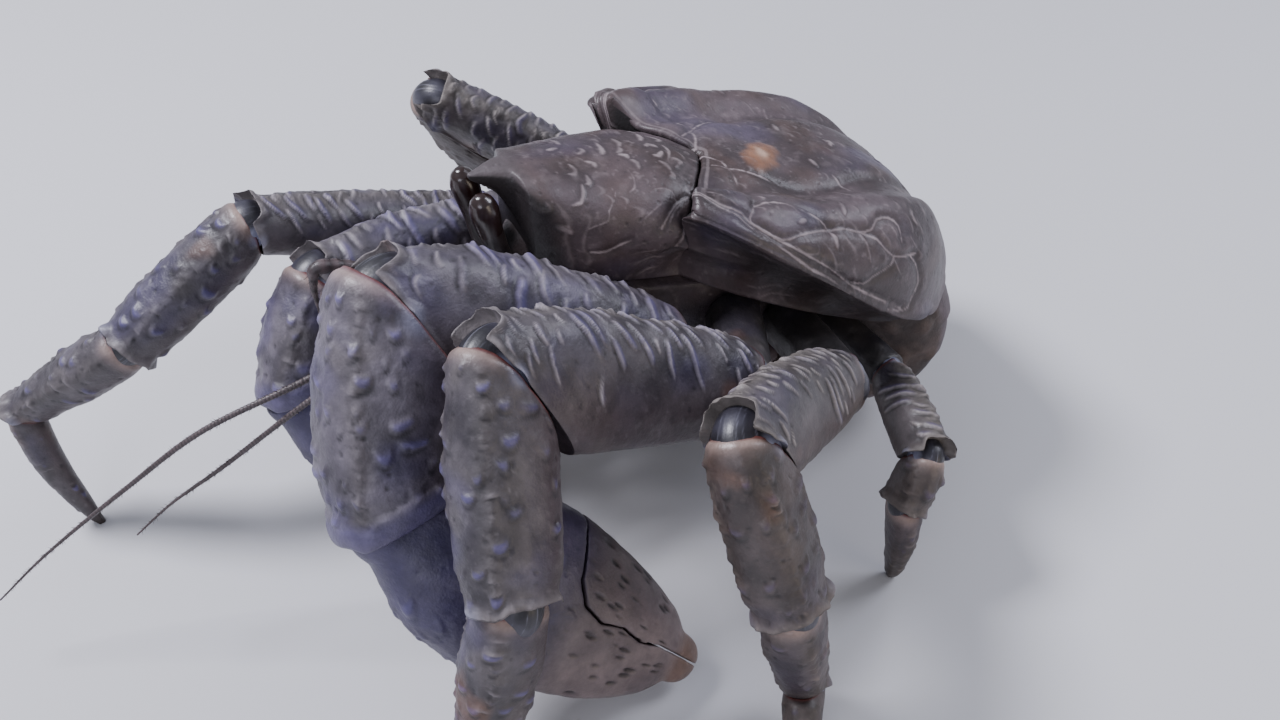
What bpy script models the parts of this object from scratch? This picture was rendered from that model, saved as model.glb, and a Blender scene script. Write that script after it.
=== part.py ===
"""Coconut crab, life size, as a still model: metres, +Z up, head towards -Y, its left side at +X.

Every segment of every limb is one closed solid. Neighbours meet face to face with a thin gap.
"""

import math

import bmesh
import bpy
from mathutils import Vector

GAP = 0.0003
FLOOR = 0.0
WELD = 0.000001
CUT_WELD = 0.0000001
SHARP_ANGLE = 40.0

# The seam under the carapace is two straight runs, seen from the side, that meet at SEAM_BEND.
SEAM_BEND = (0.002, 0.092)
SEAM_FRONT_SLOPE = 0.30
SEAM_REAR_SLOPE = 0.56

# Profiles are pairs of station and size, and run smoothly between them.
ROSTRUM_TIP = -0.081
SHIELD_HALF = (
    (-0.081, 0.0008),
    (-0.074, 0.0042),
    (-0.069, 0.0072),
    (-0.0665, 0.0145),
    (-0.058, 0.0200),
    (-0.040, 0.0255),
    (-0.020, 0.0290),
    (0.006, 0.0310),
)
SHIELD_TOP = (
    (-0.081, 0.1465),
    (-0.072, 0.1475),
    (-0.055, 0.1430),
    (-0.039, 0.1395),
    (-0.015, 0.1345),
    (0.006, 0.1300),
)
SHIELD_EDGE = (
    (-0.081, 0.1455),
    (-0.069, 0.1400),
    (-0.062, 0.1290),
    (-0.045, 0.1220),
    (-0.020, 0.1150),
    (0.006, 0.1120),
)
SHIELD_UNDER = ((-0.081, 0.1450), (-0.074, 0.1400), (-0.069, 0.1300), (-0.0665, 0.1190))
SHIELD_STATIONS = (-0.078, -0.074, -0.0705, -0.0685, -0.0665, -0.064, -0.058, -0.050, -0.040, -0.030)
SHIELD_STATIONS += (-0.020, -0.010, 0.002, 0.006)

# The cervical groove, a shallow V from above: depth at the middle, and how far it runs forward.
GROOVE_MIDDLE = 0.002
GROOVE_REACH = 0.0245
GROOVE_HALF = 0.036
GROOVE_POWER = 1.25
PRISM_HALF = 0.060
PRISM_FRONT = -0.150
PRISM_HEIGHTS = (0.060, 0.180)
PRISM_STEPS = 12

BACK_HALF = (
    (-0.030, 0.0330),
    (-0.022, 0.0375),
    (-0.010, 0.0465),
    (0.006, 0.0530),
    (0.026, 0.0565),
    (0.046, 0.0565),
    (0.062, 0.0535),
    (0.075, 0.0470),
    (0.085, 0.0390),
    (0.092, 0.0305),
    (0.098, 0.0165),
)
BACK_TOP = (
    (-0.030, 0.1440),
    (-0.015, 0.1370),
    (0.002, 0.1305),
    (0.014, 0.1270),
    (0.027, 0.1215),
    (0.045, 0.1180),
    (0.060, 0.1128),
    (0.075, 0.1032),
    (0.086, 0.0905),
    (0.093, 0.0800),
    (0.098, 0.0700),
)
BACK_EDGE = (
    (-0.030, 0.1350),
    (-0.018, 0.1320),
    (0.004, 0.1170),
    (0.037, 0.0890),
    (0.053, 0.0760),
    (0.070, 0.0650),
    (0.085, 0.0600),
    (0.098, 0.0660),
)
BACK_UNDER = ((0.072, 0.0530), (0.085, 0.0540), (0.098, 0.0640))
BACK_STATIONS = (-0.030, -0.024, -0.018, -0.010, 0.002, 0.010, 0.020, 0.030, 0.040, 0.050, 0.060, 0.070)
BACK_STATIONS += (0.078, 0.085, 0.090, 0.094, 0.098)

# The sides of the carapace lean in to a foot under its widest line: the shield's bulge, the back's hollow.
SHIELD_FOOT = ((-0.060, 0.90), (-0.048, 0.90), (-0.020, 0.76))
BACK_FOOT = 0.75
SHIELD_WALL = ((-0.060, 0.20), (-0.048, 0.15), (-0.020, -0.44))
BACK_WALL = ((-0.030, -0.50), (0.020, -0.30), (0.060, -0.12), (0.098, 0.0))
SHIELD_BOXY = 0.68
BACK_BOXY = 0.60
LEAST_WALL = 0.0006
SHIELD_ARC = 6
BACK_ARC = 11
LOBE_RISE = 0.0036
LOBE_MIDDLE = 0.72
LOBE_WIDTH = 0.16
LOBE_DIP = 0.0026
DIP_MIDDLE = 0.46
DIP_WIDTH = 0.12

THORAX_FRONT = -0.066
THORAX_SHOULDER = -0.052
THORAX_HALF = 0.027
THORAX_FACE_HALF = 0.0185
THORAX_FACE_TOP = 0.110
THORAX_BOTTOM = (
    (-0.066, 0.0780),
    (-0.036, 0.0710),
    (0.000, 0.0620),
    (0.030, 0.0480),
    (0.0517, 0.0445),
)
KEEL_SHARE = 0.12
KEEL_HALF = 0.55
THORAX_STATIONS = (-0.066, -0.060, -0.052, -0.040, -0.020, 0.002, 0.020, 0.038, 0.0517)

# The abdomen curls round a pivot: its sections fan out from it, at angles in degrees above the rear.
PIVOT = Vector((0.0, 0.052, 0.046))
ABDOMEN_START = 90.0
ABDOMEN_END = -150.0
ABDOMEN_OUTER = (
    (-175.0, 0.0350),
    (-150.0, 0.0350),
    (-110.0, 0.0355),
    (-70.0, 0.0400),
    (-30.0, 0.0475),
    (8.0, 0.0470),
    (45.0, 0.0460),
    (90.0, 0.0455),
)
ABDOMEN_INNER = ((-175.0, 0.0290), (-150.0, 0.0190), (-120.0, 0.0080), (-80.0, 0.0035), (90.0, 0.0035))
ABDOMEN_HALF = (
    (-175.0, 0.0070),
    (-150.0, 0.0170),
    (-110.0, 0.0300),
    (-60.0, 0.0410),
    (0.0, 0.0455),
    (45.0, 0.0430),
    (90.0, 0.0350),
)
TERGITE_EDGES = (8.0, -20.0, -48.0, -76.0)
TERGITE_RISE = 0.0016
TERGITE_SIDE = 0.25
TERGITE_LIP = 3.0
TERGITE_DROP = 1.5
ABDOMEN_SIDES = 18
ABDOMEN_STEPS = 18
TELSON_GAP = 0.9
TELSON_END = -175.0
TELSON_TAPER = 0.0008
TELSON_STEPS = 4

# Each leg starts at its coxa on the thorax. Its joints follow from lengths, headings and pitches:
# heading 0 is straight ahead and turns towards the crab's left, pitch is above the horizontal.
SEGMENTS = ("merus", "carpus", "propodus", "dactyl")
LEGS = {
    "leg2_left": {
        "coxa": (0.0270, 0.0010, 0.0785),
        "base": (0.0660, -0.0180, 0.0860),
        "runs": ((0.0988, 4.6, 29.2), (0.065, 67, -54), (0.056, 32, -67), (0.055, 42, None)),
        "heights": (0.0175, 0.0160, 0.0120, 0.0085),
        "depths": (0.0235, 0.0165, 0.0120, 0.0085),
        "halves": (0.0098, 0.0125, 0.0092, 0.0068),
        "base_radius": 0.0100,
    },
    "leg2_right": {
        "coxa": (-0.0270, 0.0010, 0.0780),
        "base": (-0.0650, -0.0270, 0.0690),
        "runs": ((0.1226, 6, 21.1), (0.059, 0.4, -34.4), (0.053, -26.3, -34.4), (0.054, 126, None)),
        "heights": (0.0096, 0.0102, 0.0092, 0.0062),
        "depths": (0.0115, 0.0124, 0.0104, 0.0066),
        "halves": (0.0095, 0.0105, 0.0082, 0.0058),
        "base_radius": 0.0100,
    },
    "leg3_left": {
        "coxa": (0.0270, 0.0220, 0.0680),
        "base": (0.0690, 0.0180, 0.0720),
        "runs": ((0.0866, 33, 27.2), (0.055, 106, -66), (0.045, 165, -80), (0.040, 57, None)),
        "heights": (0.0160, 0.0150, 0.0115, 0.0080),
        "depths": (0.0165, 0.0150, 0.0115, 0.0080),
        "halves": (0.0100, 0.0120, 0.0090, 0.0065),
        "base_radius": 0.0095,
    },
    "leg3_right": {
        "coxa": (-0.0270, 0.0220, 0.0680),
        "base": (-0.0690, 0.0090, 0.0640),
        "runs": ((0.0841, -21.6, 34.5), (0.057, -167, -57), (0.046, -165, -60), (0.034, -120, None)),
        "heights": (0.0135, 0.0125, 0.0100, 0.0075),
        "depths": (0.0135, 0.0125, 0.0100, 0.0075),
        "halves": (0.0095, 0.0105, 0.0085, 0.0062),
        "base_radius": 0.0095,
    },
    "leg4_left": {
        "coxa": (0.0270, 0.0430, 0.0580),
        "base": (0.0600, 0.0470, 0.0560),
        "runs": ((0.040, 73, -2.5), (0.018, 20, -60), (0.039, -140, None)),
        "heights": (0.0095, 0.0085, 0.0080),
        "depths": (0.0095, 0.0085, 0.0080),
        "halves": (0.0070, 0.0070, 0.0058),
        "base_radius": 0.0072,
    },
    "leg4_right": {
        "coxa": (-0.0270, 0.0430, 0.0580),
        "base": (-0.0600, 0.0470, 0.0560),
        "runs": ((0.040, -73, -2.5), (0.018, -20, -60), (0.039, 140, None)),
        "heights": (0.0095, 0.0085, 0.0080),
        "depths": (0.0095, 0.0085, 0.0080),
        "halves": (0.0070, 0.0070, 0.0058),
        "base_radius": 0.0072,
    },
}
CLAWS = {
    "claw_left": {
        "coxa": (0.0270, -0.0400, 0.0885),
        "base": (0.0435, -0.0380, 0.0920),
        "runs": ((0.0916, -6, 27), (0.061, 59, -57), (0.108, 152, -40)),
        "heights": (0.0200, 0.0230, 0.0320),
        "depths": (0.0200, 0.0230, 0.0320),
        "halves": (0.0126, 0.0185, 0.0175),
        "base_radius": 0.0120,
    },
    "claw_right": {
        "coxa": (-0.0270, -0.0400, 0.0885),
        "base": (-0.0420, -0.0380, 0.0890),
        "runs": ((0.0906, 11.0, 7.7), (0.0371, 34.6, -54.5), (0.090, 158, -40)),
        "heights": (0.0150, 0.0150, 0.0235),
        "depths": (0.0155, 0.0150, 0.0240),
        "halves": (0.0110, 0.0140, 0.0140),
        "base_radius": 0.0120,
    },
}

# Shapes of the segments as shares of their height, half width and length.
SHAPES = {
    "merus": {
        "top": ((0.0, 0.72), (0.35, 0.95), (0.75, 1.06), (1.0, 0.92)),
        "bottom": ((0.0, 0.72), (0.4, 0.88), (0.8, 0.98), (1.0, 0.88)),
        "half": ((0.0, 0.95), (0.4, 1.0), (0.8, 1.06), (1.0, 1.0)),
    },
    "carpus": {
        "top": ((0.0, 0.92), (0.4, 1.05), (0.8, 0.98), (1.0, 0.80)),
        "bottom": ((0.0, 0.88), (0.4, 0.98), (0.8, 0.95), (1.0, 0.78)),
        "half": ((0.0, 0.85), (0.4, 1.0), (0.8, 0.98), (1.0, 0.85)),
    },
    "propodus": {
        "top": ((0.0, 0.95), (0.3, 1.05), (0.8, 0.85), (1.0, 0.72)),
        "bottom": ((0.0, 0.95), (0.3, 1.05), (0.8, 0.85), (1.0, 0.72)),
        "half": ((0.0, 0.95), (0.3, 1.05), (0.8, 0.85), (1.0, 0.74)),
    },
    "dactyl": {
        "top": ((0.0, 1.0), (0.4, 0.85), (0.85, 0.42), (1.0, 0.16)),
        "bottom": ((0.0, 1.0), (0.4, 0.85), (0.85, 0.42), (1.0, 0.16)),
        "half": ((0.0, 1.0), (0.4, 0.85), (0.85, 0.46), (1.0, 0.20)),
    },
    "chela": {
        "top": ((0.0, 0.50), (0.18, 0.86), (0.42, 1.0), (0.70, 0.86), (0.92, 0.55), (1.0, 0.30)),
        "bottom": ((0.0, 0.50), (0.18, 0.72), (0.42, 0.84), (0.70, 0.70), (0.92, 0.44), (1.0, 0.25)),
        "half": ((0.0, 0.70), (0.18, 0.96), (0.42, 1.0), (0.70, 0.74), (0.92, 0.46), (1.0, 0.28)),
    },
}
STATIONS = {"merus": 13, "carpus": 7, "propodus": 6, "dactyl": 7, "chela": 11}
BASE_STATIONS = (-0.3, 0.35, 1.0)
BASE_SIDES = 12
LEG_SIDES = 10
CLAW_SIDES = 12
PALM_SIDES = 14
# The line between the two fingers of a pincer, as shares of its length and height, with blunt teeth.
BITE = (
    (0.50, -1.6),
    (0.50, -0.62),
    (0.53, -0.22),
    (0.58, -0.02),
    (0.66, 0.06),
    (0.74, 0.00),
    (0.82, 0.06),
    (0.90, 0.00),
    (1.25, 0.02),
    (1.25, -1.6),
)
BITE_WIDTH = 0.05

CREST = 0.0013
DACTYL_BEND = 0.05
FOOT_SINK = 0.0006
ROUND_END = ((0.96, 0.28), (0.72, 0.70), (0.38, 0.925))
SECTION_POWER = 0.86

SHELL_COLOUR = (0.17, 0.13, 0.15, 1.0)
LIMB_COLOUR = (0.17, 0.17, 0.25, 1.0)
REAR_LIMB_COLOUR = (0.19, 0.15, 0.14, 1.0)
EYE_COLOUR = (0.03, 0.012, 0.012, 1.0)
FEELER_COLOUR = (0.06, 0.045, 0.045, 1.0)
SOFT_COLOUR = (0.12, 0.085, 0.075, 1.0)
SHELL_ROUGHNESS = 0.45
LIMB_ROUGHNESS = 0.5
SOFT_ROUGHNESS = 0.6
FEELER_ROUGHNESS = 0.4

# Feelers of the head, each with its root on the head's flat face as (x, z), for the left side.
HEAD_FACE = THORAX_FRONT - GAP
HEAD_LEAD = 0.0025
FEELER_RESOLUTION = 2
EYE = {
    "root": (0.0046, 0.1052),
    "route": ((0.0056, -0.0740, 0.1120), (0.0070, -0.0775, 0.1270), (0.0080, -0.0800, 0.1400),
              (0.0082, -0.0806, 0.1435)),
    "radii": ((0.0, 0.0038), (0.25, 0.0042), (0.6, 0.0040), (0.85, 0.0047), (0.95, 0.0036), (1.0, 0.0014)),
    "spacing": 0.0036,
    "colour": EYE_COLOUR,
}
ANTENNULE = {
    "root": (0.0032, 0.0965),
    "route": ((0.0034, -0.0900, 0.1020), (0.0052, -0.1120, 0.1170), (0.0062, -0.1290, 0.1240),
              (0.0064, -0.1325, 0.1190), (0.0064, -0.1325, 0.1060)),
    "radii": ((0.0, 0.0024), (0.3, 0.0022), (0.6, 0.0018), (0.78, 0.0024), (0.86, 0.0014), (1.0, 0.0004)),
    "spacing": 0.0060,
    "colour": FEELER_COLOUR,
}
MAXILLIPED = {
    "root": (0.0100, 0.0870),
    "route": ((0.0100, -0.0735, 0.0865), (0.0085, -0.0800, 0.0780), (0.0060, -0.0800, 0.0670),
              (0.0050, -0.0760, 0.0590)),
    "radii": ((0.0, 0.0038), (0.4, 0.0040), (0.75, 0.0034), (1.0, 0.0014)),
    "spacing": 0.0050,
    "colour": SOFT_COLOUR,
}
ANTENNA_RADII = ((0.0, 0.0038), (0.10, 0.0036), (0.2, 0.0030), (0.27, 0.0013), (0.7, 0.0009), (1.0, 0.0003))
ANTENNA_LEFT = {
    "root": (0.0130, 0.0990),
    "route": ((0.0140, -0.0900, 0.1040), (0.0150, -0.1180, 0.1010), (0.0150, -0.1448, 0.0920),
              (0.0059, -0.1750, 0.0680), (0.0027, -0.1930, 0.0570), (0.0022, -0.2063, 0.0480)),
    "radii": ANTENNA_RADII,
    "spacing": 0.0085,
    "colour": FEELER_COLOUR,
}
ANTENNA_RIGHT = {
    "root": (0.0130, 0.0990),
    "route": ((0.0095, -0.0900, 0.0970), (-0.0020, -0.1180, 0.0985), (-0.0093, -0.1416, 0.0960),
              (-0.0017, -0.1770, 0.0820), (0.0058, -0.2040, 0.0620), (0.0115, -0.2340, 0.0400),
              (0.0130, -0.2533, 0.0250)),
    "radii": ANTENNA_RADII,
    "spacing": 0.0085,
    "colour": FEELER_COLOUR,
}


def smooth(points, x):
    """The value at x of a smooth curve through pairs of station and value, flat past its ends."""
    if x <= points[0][0]:
        return points[0][1]
    if x >= points[-1][0]:
        return points[-1][1]
    slopes = [(b[1] - a[1]) / (b[0] - a[0]) for a, b in zip(points, points[1:])]
    index = max(i for i in range(len(slopes)) if points[i][0] <= x)
    (x0, y0), (x1, y1) = points[index], points[index + 1]

    def tangent(i):
        if i == 0 or i == len(slopes):
            return slopes[min(i, len(slopes) - 1)]
        before, after = slopes[i - 1], slopes[i]
        if before * after <= 0:
            return 0.0
        return 2 * before * after / (before + after)

    span = x1 - x0
    t = (x - x0) / span
    rise = (2 * t ** 3 - 3 * t ** 2 + 1) * y0 + (3 * t ** 2 - 2 * t ** 3) * y1
    lean = (t ** 3 - 2 * t ** 2 + t) * tangent(index) + (t ** 3 - t ** 2) * tangent(index + 1)
    return rise + span * lean


def seam_height(y):
    """Height of the seam between the carapace and the thorax."""
    slope = SEAM_FRONT_SLOPE if y < SEAM_BEND[0] else SEAM_REAR_SLOPE
    return SEAM_BEND[1] - slope * (y - SEAM_BEND[0])


def power(value, exponent):
    """A signed power, for the corners of a superellipse."""
    return math.copysign(abs(value) ** exponent, value)


def make_object(name, mesh, colour, roughness):
    """An object with its own material, linked to the parts collection and parented to the stance."""
    mesh.shade_smooth()
    mesh.set_sharp_from_angle(angle=math.radians(SHARP_ANGLE))
    part = bpy.data.objects.new(name, mesh)
    material = bpy.data.materials.new(name)
    material.use_nodes = True
    shader = material.node_tree.nodes["Principled BSDF"]
    shader.inputs["Base Color"].default_value = colour
    shader.inputs["Roughness"].default_value = roughness
    shader.inputs["Metallic"].default_value = 0.0
    mesh.materials.append(material)
    PARTS.objects.link(part)
    part.parent = STANCE
    return part


def loft(rings, first=None, last=None):
    """A closed bmesh through rings of equal count. An end closes on a point, or flat if none is given."""
    shape = bmesh.new()
    loops = [[shape.verts.new(point) for point in ring] for ring in rings]
    for near, far in zip(loops, loops[1:]):
        for i in range(len(near)):
            j = (i + 1) % len(near)
            shape.faces.new((near[i], near[j], far[j], far[i]))
    for loop, point in ((loops[0], first), (loops[-1], last)):
        if point is None:
            shape.faces.new(loop)
            continue
        pole = shape.verts.new(point)
        for i in range(len(loop)):
            shape.faces.new((loop[i], loop[(i + 1) % len(loop)], pole))
    finish_shape(shape)
    return shape


def finish_shape(shape):
    """Triangulates, and turns every face outwards."""
    bmesh.ops.recalc_face_normals(shape, faces=shape.faces)
    bmesh.ops.triangulate(shape, faces=shape.faces, quad_method="SHORT_EDGE", ngon_method="EAR_CLIP")


def cut(shape, point, normal):
    """Removes what lies past the plane, and closes the cut with a flat face."""
    geometry = list(shape.verts) + list(shape.edges) + list(shape.faces)
    result = bmesh.ops.bisect_plane(
        shape, geom=geometry, dist=CUT_WELD, plane_co=point, plane_no=normal, clear_outer=True
    )
    edges = [e for e in result["geom_cut"] if isinstance(e, bmesh.types.BMEdge)]
    if edges:
        bmesh.ops.edgenet_fill(shape, edges=edges)
    finish_shape(shape)


def to_mesh(name, shape):
    """Turns a bmesh into a mesh datablock."""
    bmesh.ops.remove_doubles(shape, verts=shape.verts, dist=WELD)
    mesh = bpy.data.meshes.new(name)
    shape.to_mesh(mesh)
    shape.free()
    return mesh


def combine(name, base, tool, operation):
    """The mesh of a Boolean between two bmeshes."""
    meshes = [to_mesh(name + "_base", base), to_mesh(name + "_tool", tool)]
    objects = [bpy.data.objects.new(mesh.name, mesh) for mesh in meshes]
    for item in objects:
        CUTTERS.objects.link(item)
        item.hide_render = True
        item.display_type = "WIRE"
    modifier = objects[0].modifiers.new("cut", "BOOLEAN")
    modifier.object = objects[1]
    modifier.operation = operation
    modifier.solver = "EXACT"
    graph = bpy.context.evaluated_depsgraph_get()
    mesh = bpy.data.meshes.new_from_object(objects[0].evaluated_get(graph))
    for item in objects:
        bpy.data.objects.remove(item)
    result = bmesh.new()
    result.from_mesh(mesh)
    bmesh.ops.remove_doubles(result, verts=result.verts, dist=WELD)
    bmesh.ops.dissolve_degenerate(result, edges=result.edges, dist=WELD)
    keep_largest(result)
    finish_shape(result)
    return result


def keep_largest(shape):
    """Drops every closed surface but the largest."""
    left = set(shape.faces)
    bodies = []
    while left:
        stack = [left.pop()]
        body = set(stack)
        while stack:
            for edge in stack.pop().edges:
                for face in edge.link_faces:
                    if face in left:
                        left.remove(face)
                        body.add(face)
                        stack.append(face)
        bodies.append(body)
    bodies.sort(key=len)
    for body in bodies[:-1]:
        bmesh.ops.delete(shape, geom=list(body), context="FACES")


def body_ring(y, half, top, edge, bottom, foot, boxy, arc_steps, wall, rise=0.0, dip=0.0):
    """A cross-section of the carapace: an arc over the back, a wall, and a flat underside."""
    side = []
    for i in range(arc_steps + 1):
        angle = math.pi / 2 * i / arc_steps
        across = math.sin(angle) ** boxy
        lobe = rise * math.exp(-(((across - LOBE_MIDDLE) / LOBE_WIDTH) ** 2))
        lobe -= dip * math.exp(-(((across - DIP_MIDDLE) / DIP_WIDTH) ** 2))
        side.append((half * across, edge + (top - edge) * math.cos(angle) ** boxy + lobe))
    side.append(((half + foot) / 2 + (half - foot) * wall, (edge + bottom) / 2))
    side.append((foot, bottom))
    ring = [Vector((x, y, z)) for x, z in side]
    ring += [Vector((-x, y, z)) for x, z in reversed(side[1:])]
    return ring


def groove(x):
    """How far back the cervical groove lies at a distance x from the middle."""
    return GROOVE_MIDDLE - GROOVE_REACH * (abs(x) / GROOVE_HALF) ** GROOVE_POWER


def groove_prism(shift):
    """The space in front of the cervical groove, moved back by shift, as an upright prism."""
    steps = range(PRISM_STEPS + 1)
    across = [PRISM_HALF * (2 * i / PRISM_STEPS - 1) for i in steps]
    outline = [(x, groove(x) + shift) for x in across]
    outline += [(PRISM_HALF, PRISM_FRONT), (-PRISM_HALF, PRISM_FRONT)]
    return loft([[Vector((x, y, z)) for x, y in outline] for z in PRISM_HEIGHTS])


def make_shield():
    """The front half of the carapace, from the rostrum to the cervical groove."""
    rings = []
    for y in SHIELD_STATIONS:
        bottom = seam_height(y) + GAP / 2
        if y <= SHIELD_UNDER[-1][0]:
            bottom = smooth(SHIELD_UNDER, y)
        half = smooth(SHIELD_HALF, y)
        edge = max(smooth(SHIELD_EDGE, y), bottom + LEAST_WALL)
        foot = half * smooth(SHIELD_FOOT, y)
        wall = smooth(SHIELD_WALL, y)
        top = smooth(SHIELD_TOP, y)
        rings.append(body_ring(y, half, top, edge, bottom, foot, SHIELD_BOXY, SHIELD_ARC, wall))
    tip = Vector((0.0, ROSTRUM_TIP, SHIELD_EDGE[0][1]))
    shape = combine("shield", loft(rings, first=tip), groove_prism(0.0), "INTERSECT")
    make_object("carapace_shield", to_mesh("carapace_shield", shape), SHELL_COLOUR, SHELL_ROUGHNESS)


def make_back():
    """The rear of the carapace, with the branchial lobes, cut round the abdomen under it."""
    rings = []
    for y in BACK_STATIONS:
        half = smooth(BACK_HALF, y)
        bottom = seam_height(y) + GAP / 2
        if y > BACK_UNDER[0][0]:
            bottom = smooth(BACK_UNDER, y)
        edge = smooth(BACK_EDGE, y)
        foot = half * BACK_FOOT
        top = smooth(BACK_TOP, y)
        sizes = (half, top, edge, bottom, foot)
        wall = smooth(BACK_WALL, y)
        rings.append(body_ring(y, *sizes, BACK_BOXY, BACK_ARC, wall, LOBE_RISE, LOBE_DIP))
    shape = combine("back", loft(rings), groove_prism(GAP), "DIFFERENCE")
    shape = combine("back", shape, abdomen_shape(GAP, 1.0), "DIFFERENCE")
    make_object("carapace_back", to_mesh("carapace_back", shape), SHELL_COLOUR, SHELL_ROUGHNESS)


def make_thorax():
    """The underside of the body, which carries the head's limbs, the legs and the abdomen."""
    rings = []
    for y in THORAX_STATIONS:
        share = min(1.0, (y - THORAX_FRONT) / (THORAX_SHOULDER - THORAX_FRONT))
        half = THORAX_FACE_HALF + (THORAX_HALF - THORAX_FACE_HALF) * share
        top = min(seam_height(y) - GAP / 2, THORAX_FACE_TOP)
        bottom = smooth(THORAX_BOTTOM, y)
        keel = bottom + KEEL_SHARE * (top - bottom)
        corners = ((half, top), (half, keel), (half * KEEL_HALF, bottom))
        ring = [Vector((x, y, z)) for x, z in corners]
        ring += [Vector((-x, y, z)) for x, z in reversed(corners)]
        rings.append(ring)
    make_object("thorax", to_mesh("thorax", loft(rings)), SOFT_COLOUR, SOFT_ROUGHNESS)


def abdomen_ring(angle, grow, rise):
    """A section of the abdomen in the half plane at angle from its pivot."""
    outward = Vector((0.0, math.cos(math.radians(angle)), math.sin(math.radians(angle))))
    outer = smooth(ABDOMEN_OUTER, angle) + grow
    inner = smooth(ABDOMEN_INNER, angle) - grow
    half = smooth(ABDOMEN_HALF, angle) + grow
    middle = (outer + inner) / 2
    depth = (outer - inner) / 2
    ring = []
    for i in range(ABDOMEN_SIDES):
        turn = 2 * math.pi * i / ABDOMEN_SIDES
        across = power(math.sin(turn), SECTION_POWER) * half
        out = power(math.cos(turn), SECTION_POWER) * depth
        if math.cos(turn) > TERGITE_SIDE:
            out += rise
        ring.append(PIVOT + outward * (middle + out) + Vector((across, 0.0, 0.0)))
    return ring


def abdomen_shape(grow, rise_share):
    """The curled abdomen, with the rear edge of each tergite raised over the next."""
    turn = ABDOMEN_END - ABDOMEN_START
    stations = [(ABDOMEN_START + turn * i / ABDOMEN_STEPS, 0.0) for i in range(ABDOMEN_STEPS + 1)]
    for edge in TERGITE_EDGES:
        stations = [s for s in stations if abs(s[0] - edge) > 2 * TERGITE_LIP]
        stations += [(edge + TERGITE_LIP, TERGITE_RISE), (edge, TERGITE_RISE), (edge - TERGITE_DROP, 0.0)]
    stations.sort(reverse=True)
    rings = [abdomen_ring(angle, grow, rise * rise_share) for angle, rise in stations]
    if grow > 0:
        back = Vector((0.0, -grow, 0.0))
        rings[0] = [point + back for point in rings[0]]
    return loft(rings)


def make_abdomen():
    """The abdomen, and the telson on its end."""
    shape = abdomen_shape(0.0, 1.0)
    make_object("abdomen", to_mesh("abdomen", shape), SOFT_COLOUR, SOFT_ROUGHNESS)
    first = ABDOMEN_END - TELSON_GAP
    angles = [first + (TELSON_END - first) * i / TELSON_STEPS for i in range(TELSON_STEPS + 1)]
    rings = [abdomen_ring(angle, -TELSON_TAPER * i, 0.0) for i, angle in enumerate(angles)]
    make_object("telson", to_mesh("telson", loft(rings)), SHELL_COLOUR, SHELL_ROUGHNESS)


def heading_vector(heading, pitch):
    """A unit vector from a heading and a pitch in degrees."""
    turn, rise = math.radians(heading), math.radians(pitch)
    flat = math.cos(rise)
    return Vector((math.sin(turn) * flat, -math.cos(turn) * flat, math.sin(rise)))


def limb_joints(limb):
    """The joints of a limb from its base on. A run with no pitch ends just under the floor."""
    points = [Vector(limb["base"])]
    for length, heading, pitch in limb["runs"]:
        if pitch is None:
            drop = FLOOR - FOOT_SINK - points[-1].z
            pitch = math.degrees(math.asin(max(-1.0, drop / length)))
        points.append(points[-1] + heading_vector(heading, pitch) * length)
    return points


def segment_size(limb, index):
    """Height above its line, depth below it and half width of a limb's segment."""
    return limb["heights"][index], limb["depths"][index], limb["halves"][index]


def limb_frames(points):
    """Direction and outer side of each run: the outer side of the first bend is carried along."""
    runs = [(b - a).normalized() for a, b in zip(points, points[1:])]
    up = -(runs[1] - runs[0] * runs[1].dot(runs[0])).normalized()
    frames = [(runs[0], up)]
    for before, after in zip(runs, runs[1:]):
        up = before.rotation_difference(after) @ up
        up = (up - after * up.dot(after)).normalized()
        frames.append((after, up))
    return frames


def section(centre, along, up, top, bottom, half, sides):
    """A superellipse across a limb, with its own heights above and below the middle."""
    side = along.cross(up).normalized()
    ring = []
    for i in range(sides):
        turn = 2 * math.pi * i / sides
        height = power(math.sin(turn), SECTION_POWER) * (top if math.sin(turn) > 0 else bottom)
        ring.append(centre + side * power(math.cos(turn), SECTION_POWER) * half + up * height)
    return ring


def segment_shape(kind, start, end, up, size, sides, bend=0.0, crest=0.0, ends=(True, True)):
    """A limb segment with round ends past both joints, a toothed crest on top, and a bend of its line."""
    along = (end - start).normalized()
    length = (end - start).length
    height, depth, half = size
    form = SHAPES[kind]
    rings = []

    def add(at, share, lift):
        t = min(1.0, max(0.0, at / length))
        sag = up * (bend * length * (4 * t * (1 - t)))
        centre = start + along * at + sag
        top = smooth(form["top"], t) * height * share + lift
        bottom = smooth(form["bottom"], t) * depth * share
        across = smooth(form["half"], t) * half * share
        rings.append(section(centre, along, up, top, bottom, across, sides))

    near = smooth(form["top"], 0.0) * height
    far = smooth(form["top"], 1.0) * height
    first = start
    last = end
    if ends[0]:
        first = start - along * near
        for reach, share in ROUND_END:
            add(-near * reach, share, 0.0)
    count = STATIONS[kind]
    for i in range(count):
        tooth = crest if i % 2 == 1 and 0 < i < count - 1 else 0.0
        add(length * i / (count - 1), 1.0, tooth)
    if ends[1]:
        last = end + along * far
        for reach, share in reversed(ROUND_END):
            add(length + far * reach, share, 0.0)
    return loft(rings, first=first, last=last)


def joint_plane(point, before, after):
    """The plane that halves the bend between two runs."""
    return point, (before + after).normalized()


def cut_ends(shape, start_plane, end_plane):
    """Cuts a segment at the planes of its two joints, half a gap short of each."""
    if start_plane is not None:
        point, normal = start_plane
        cut(shape, point + normal * GAP / 2, -normal)
    if end_plane is not None:
        point, normal = end_plane
        cut(shape, point - normal * GAP / 2, normal)


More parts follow.
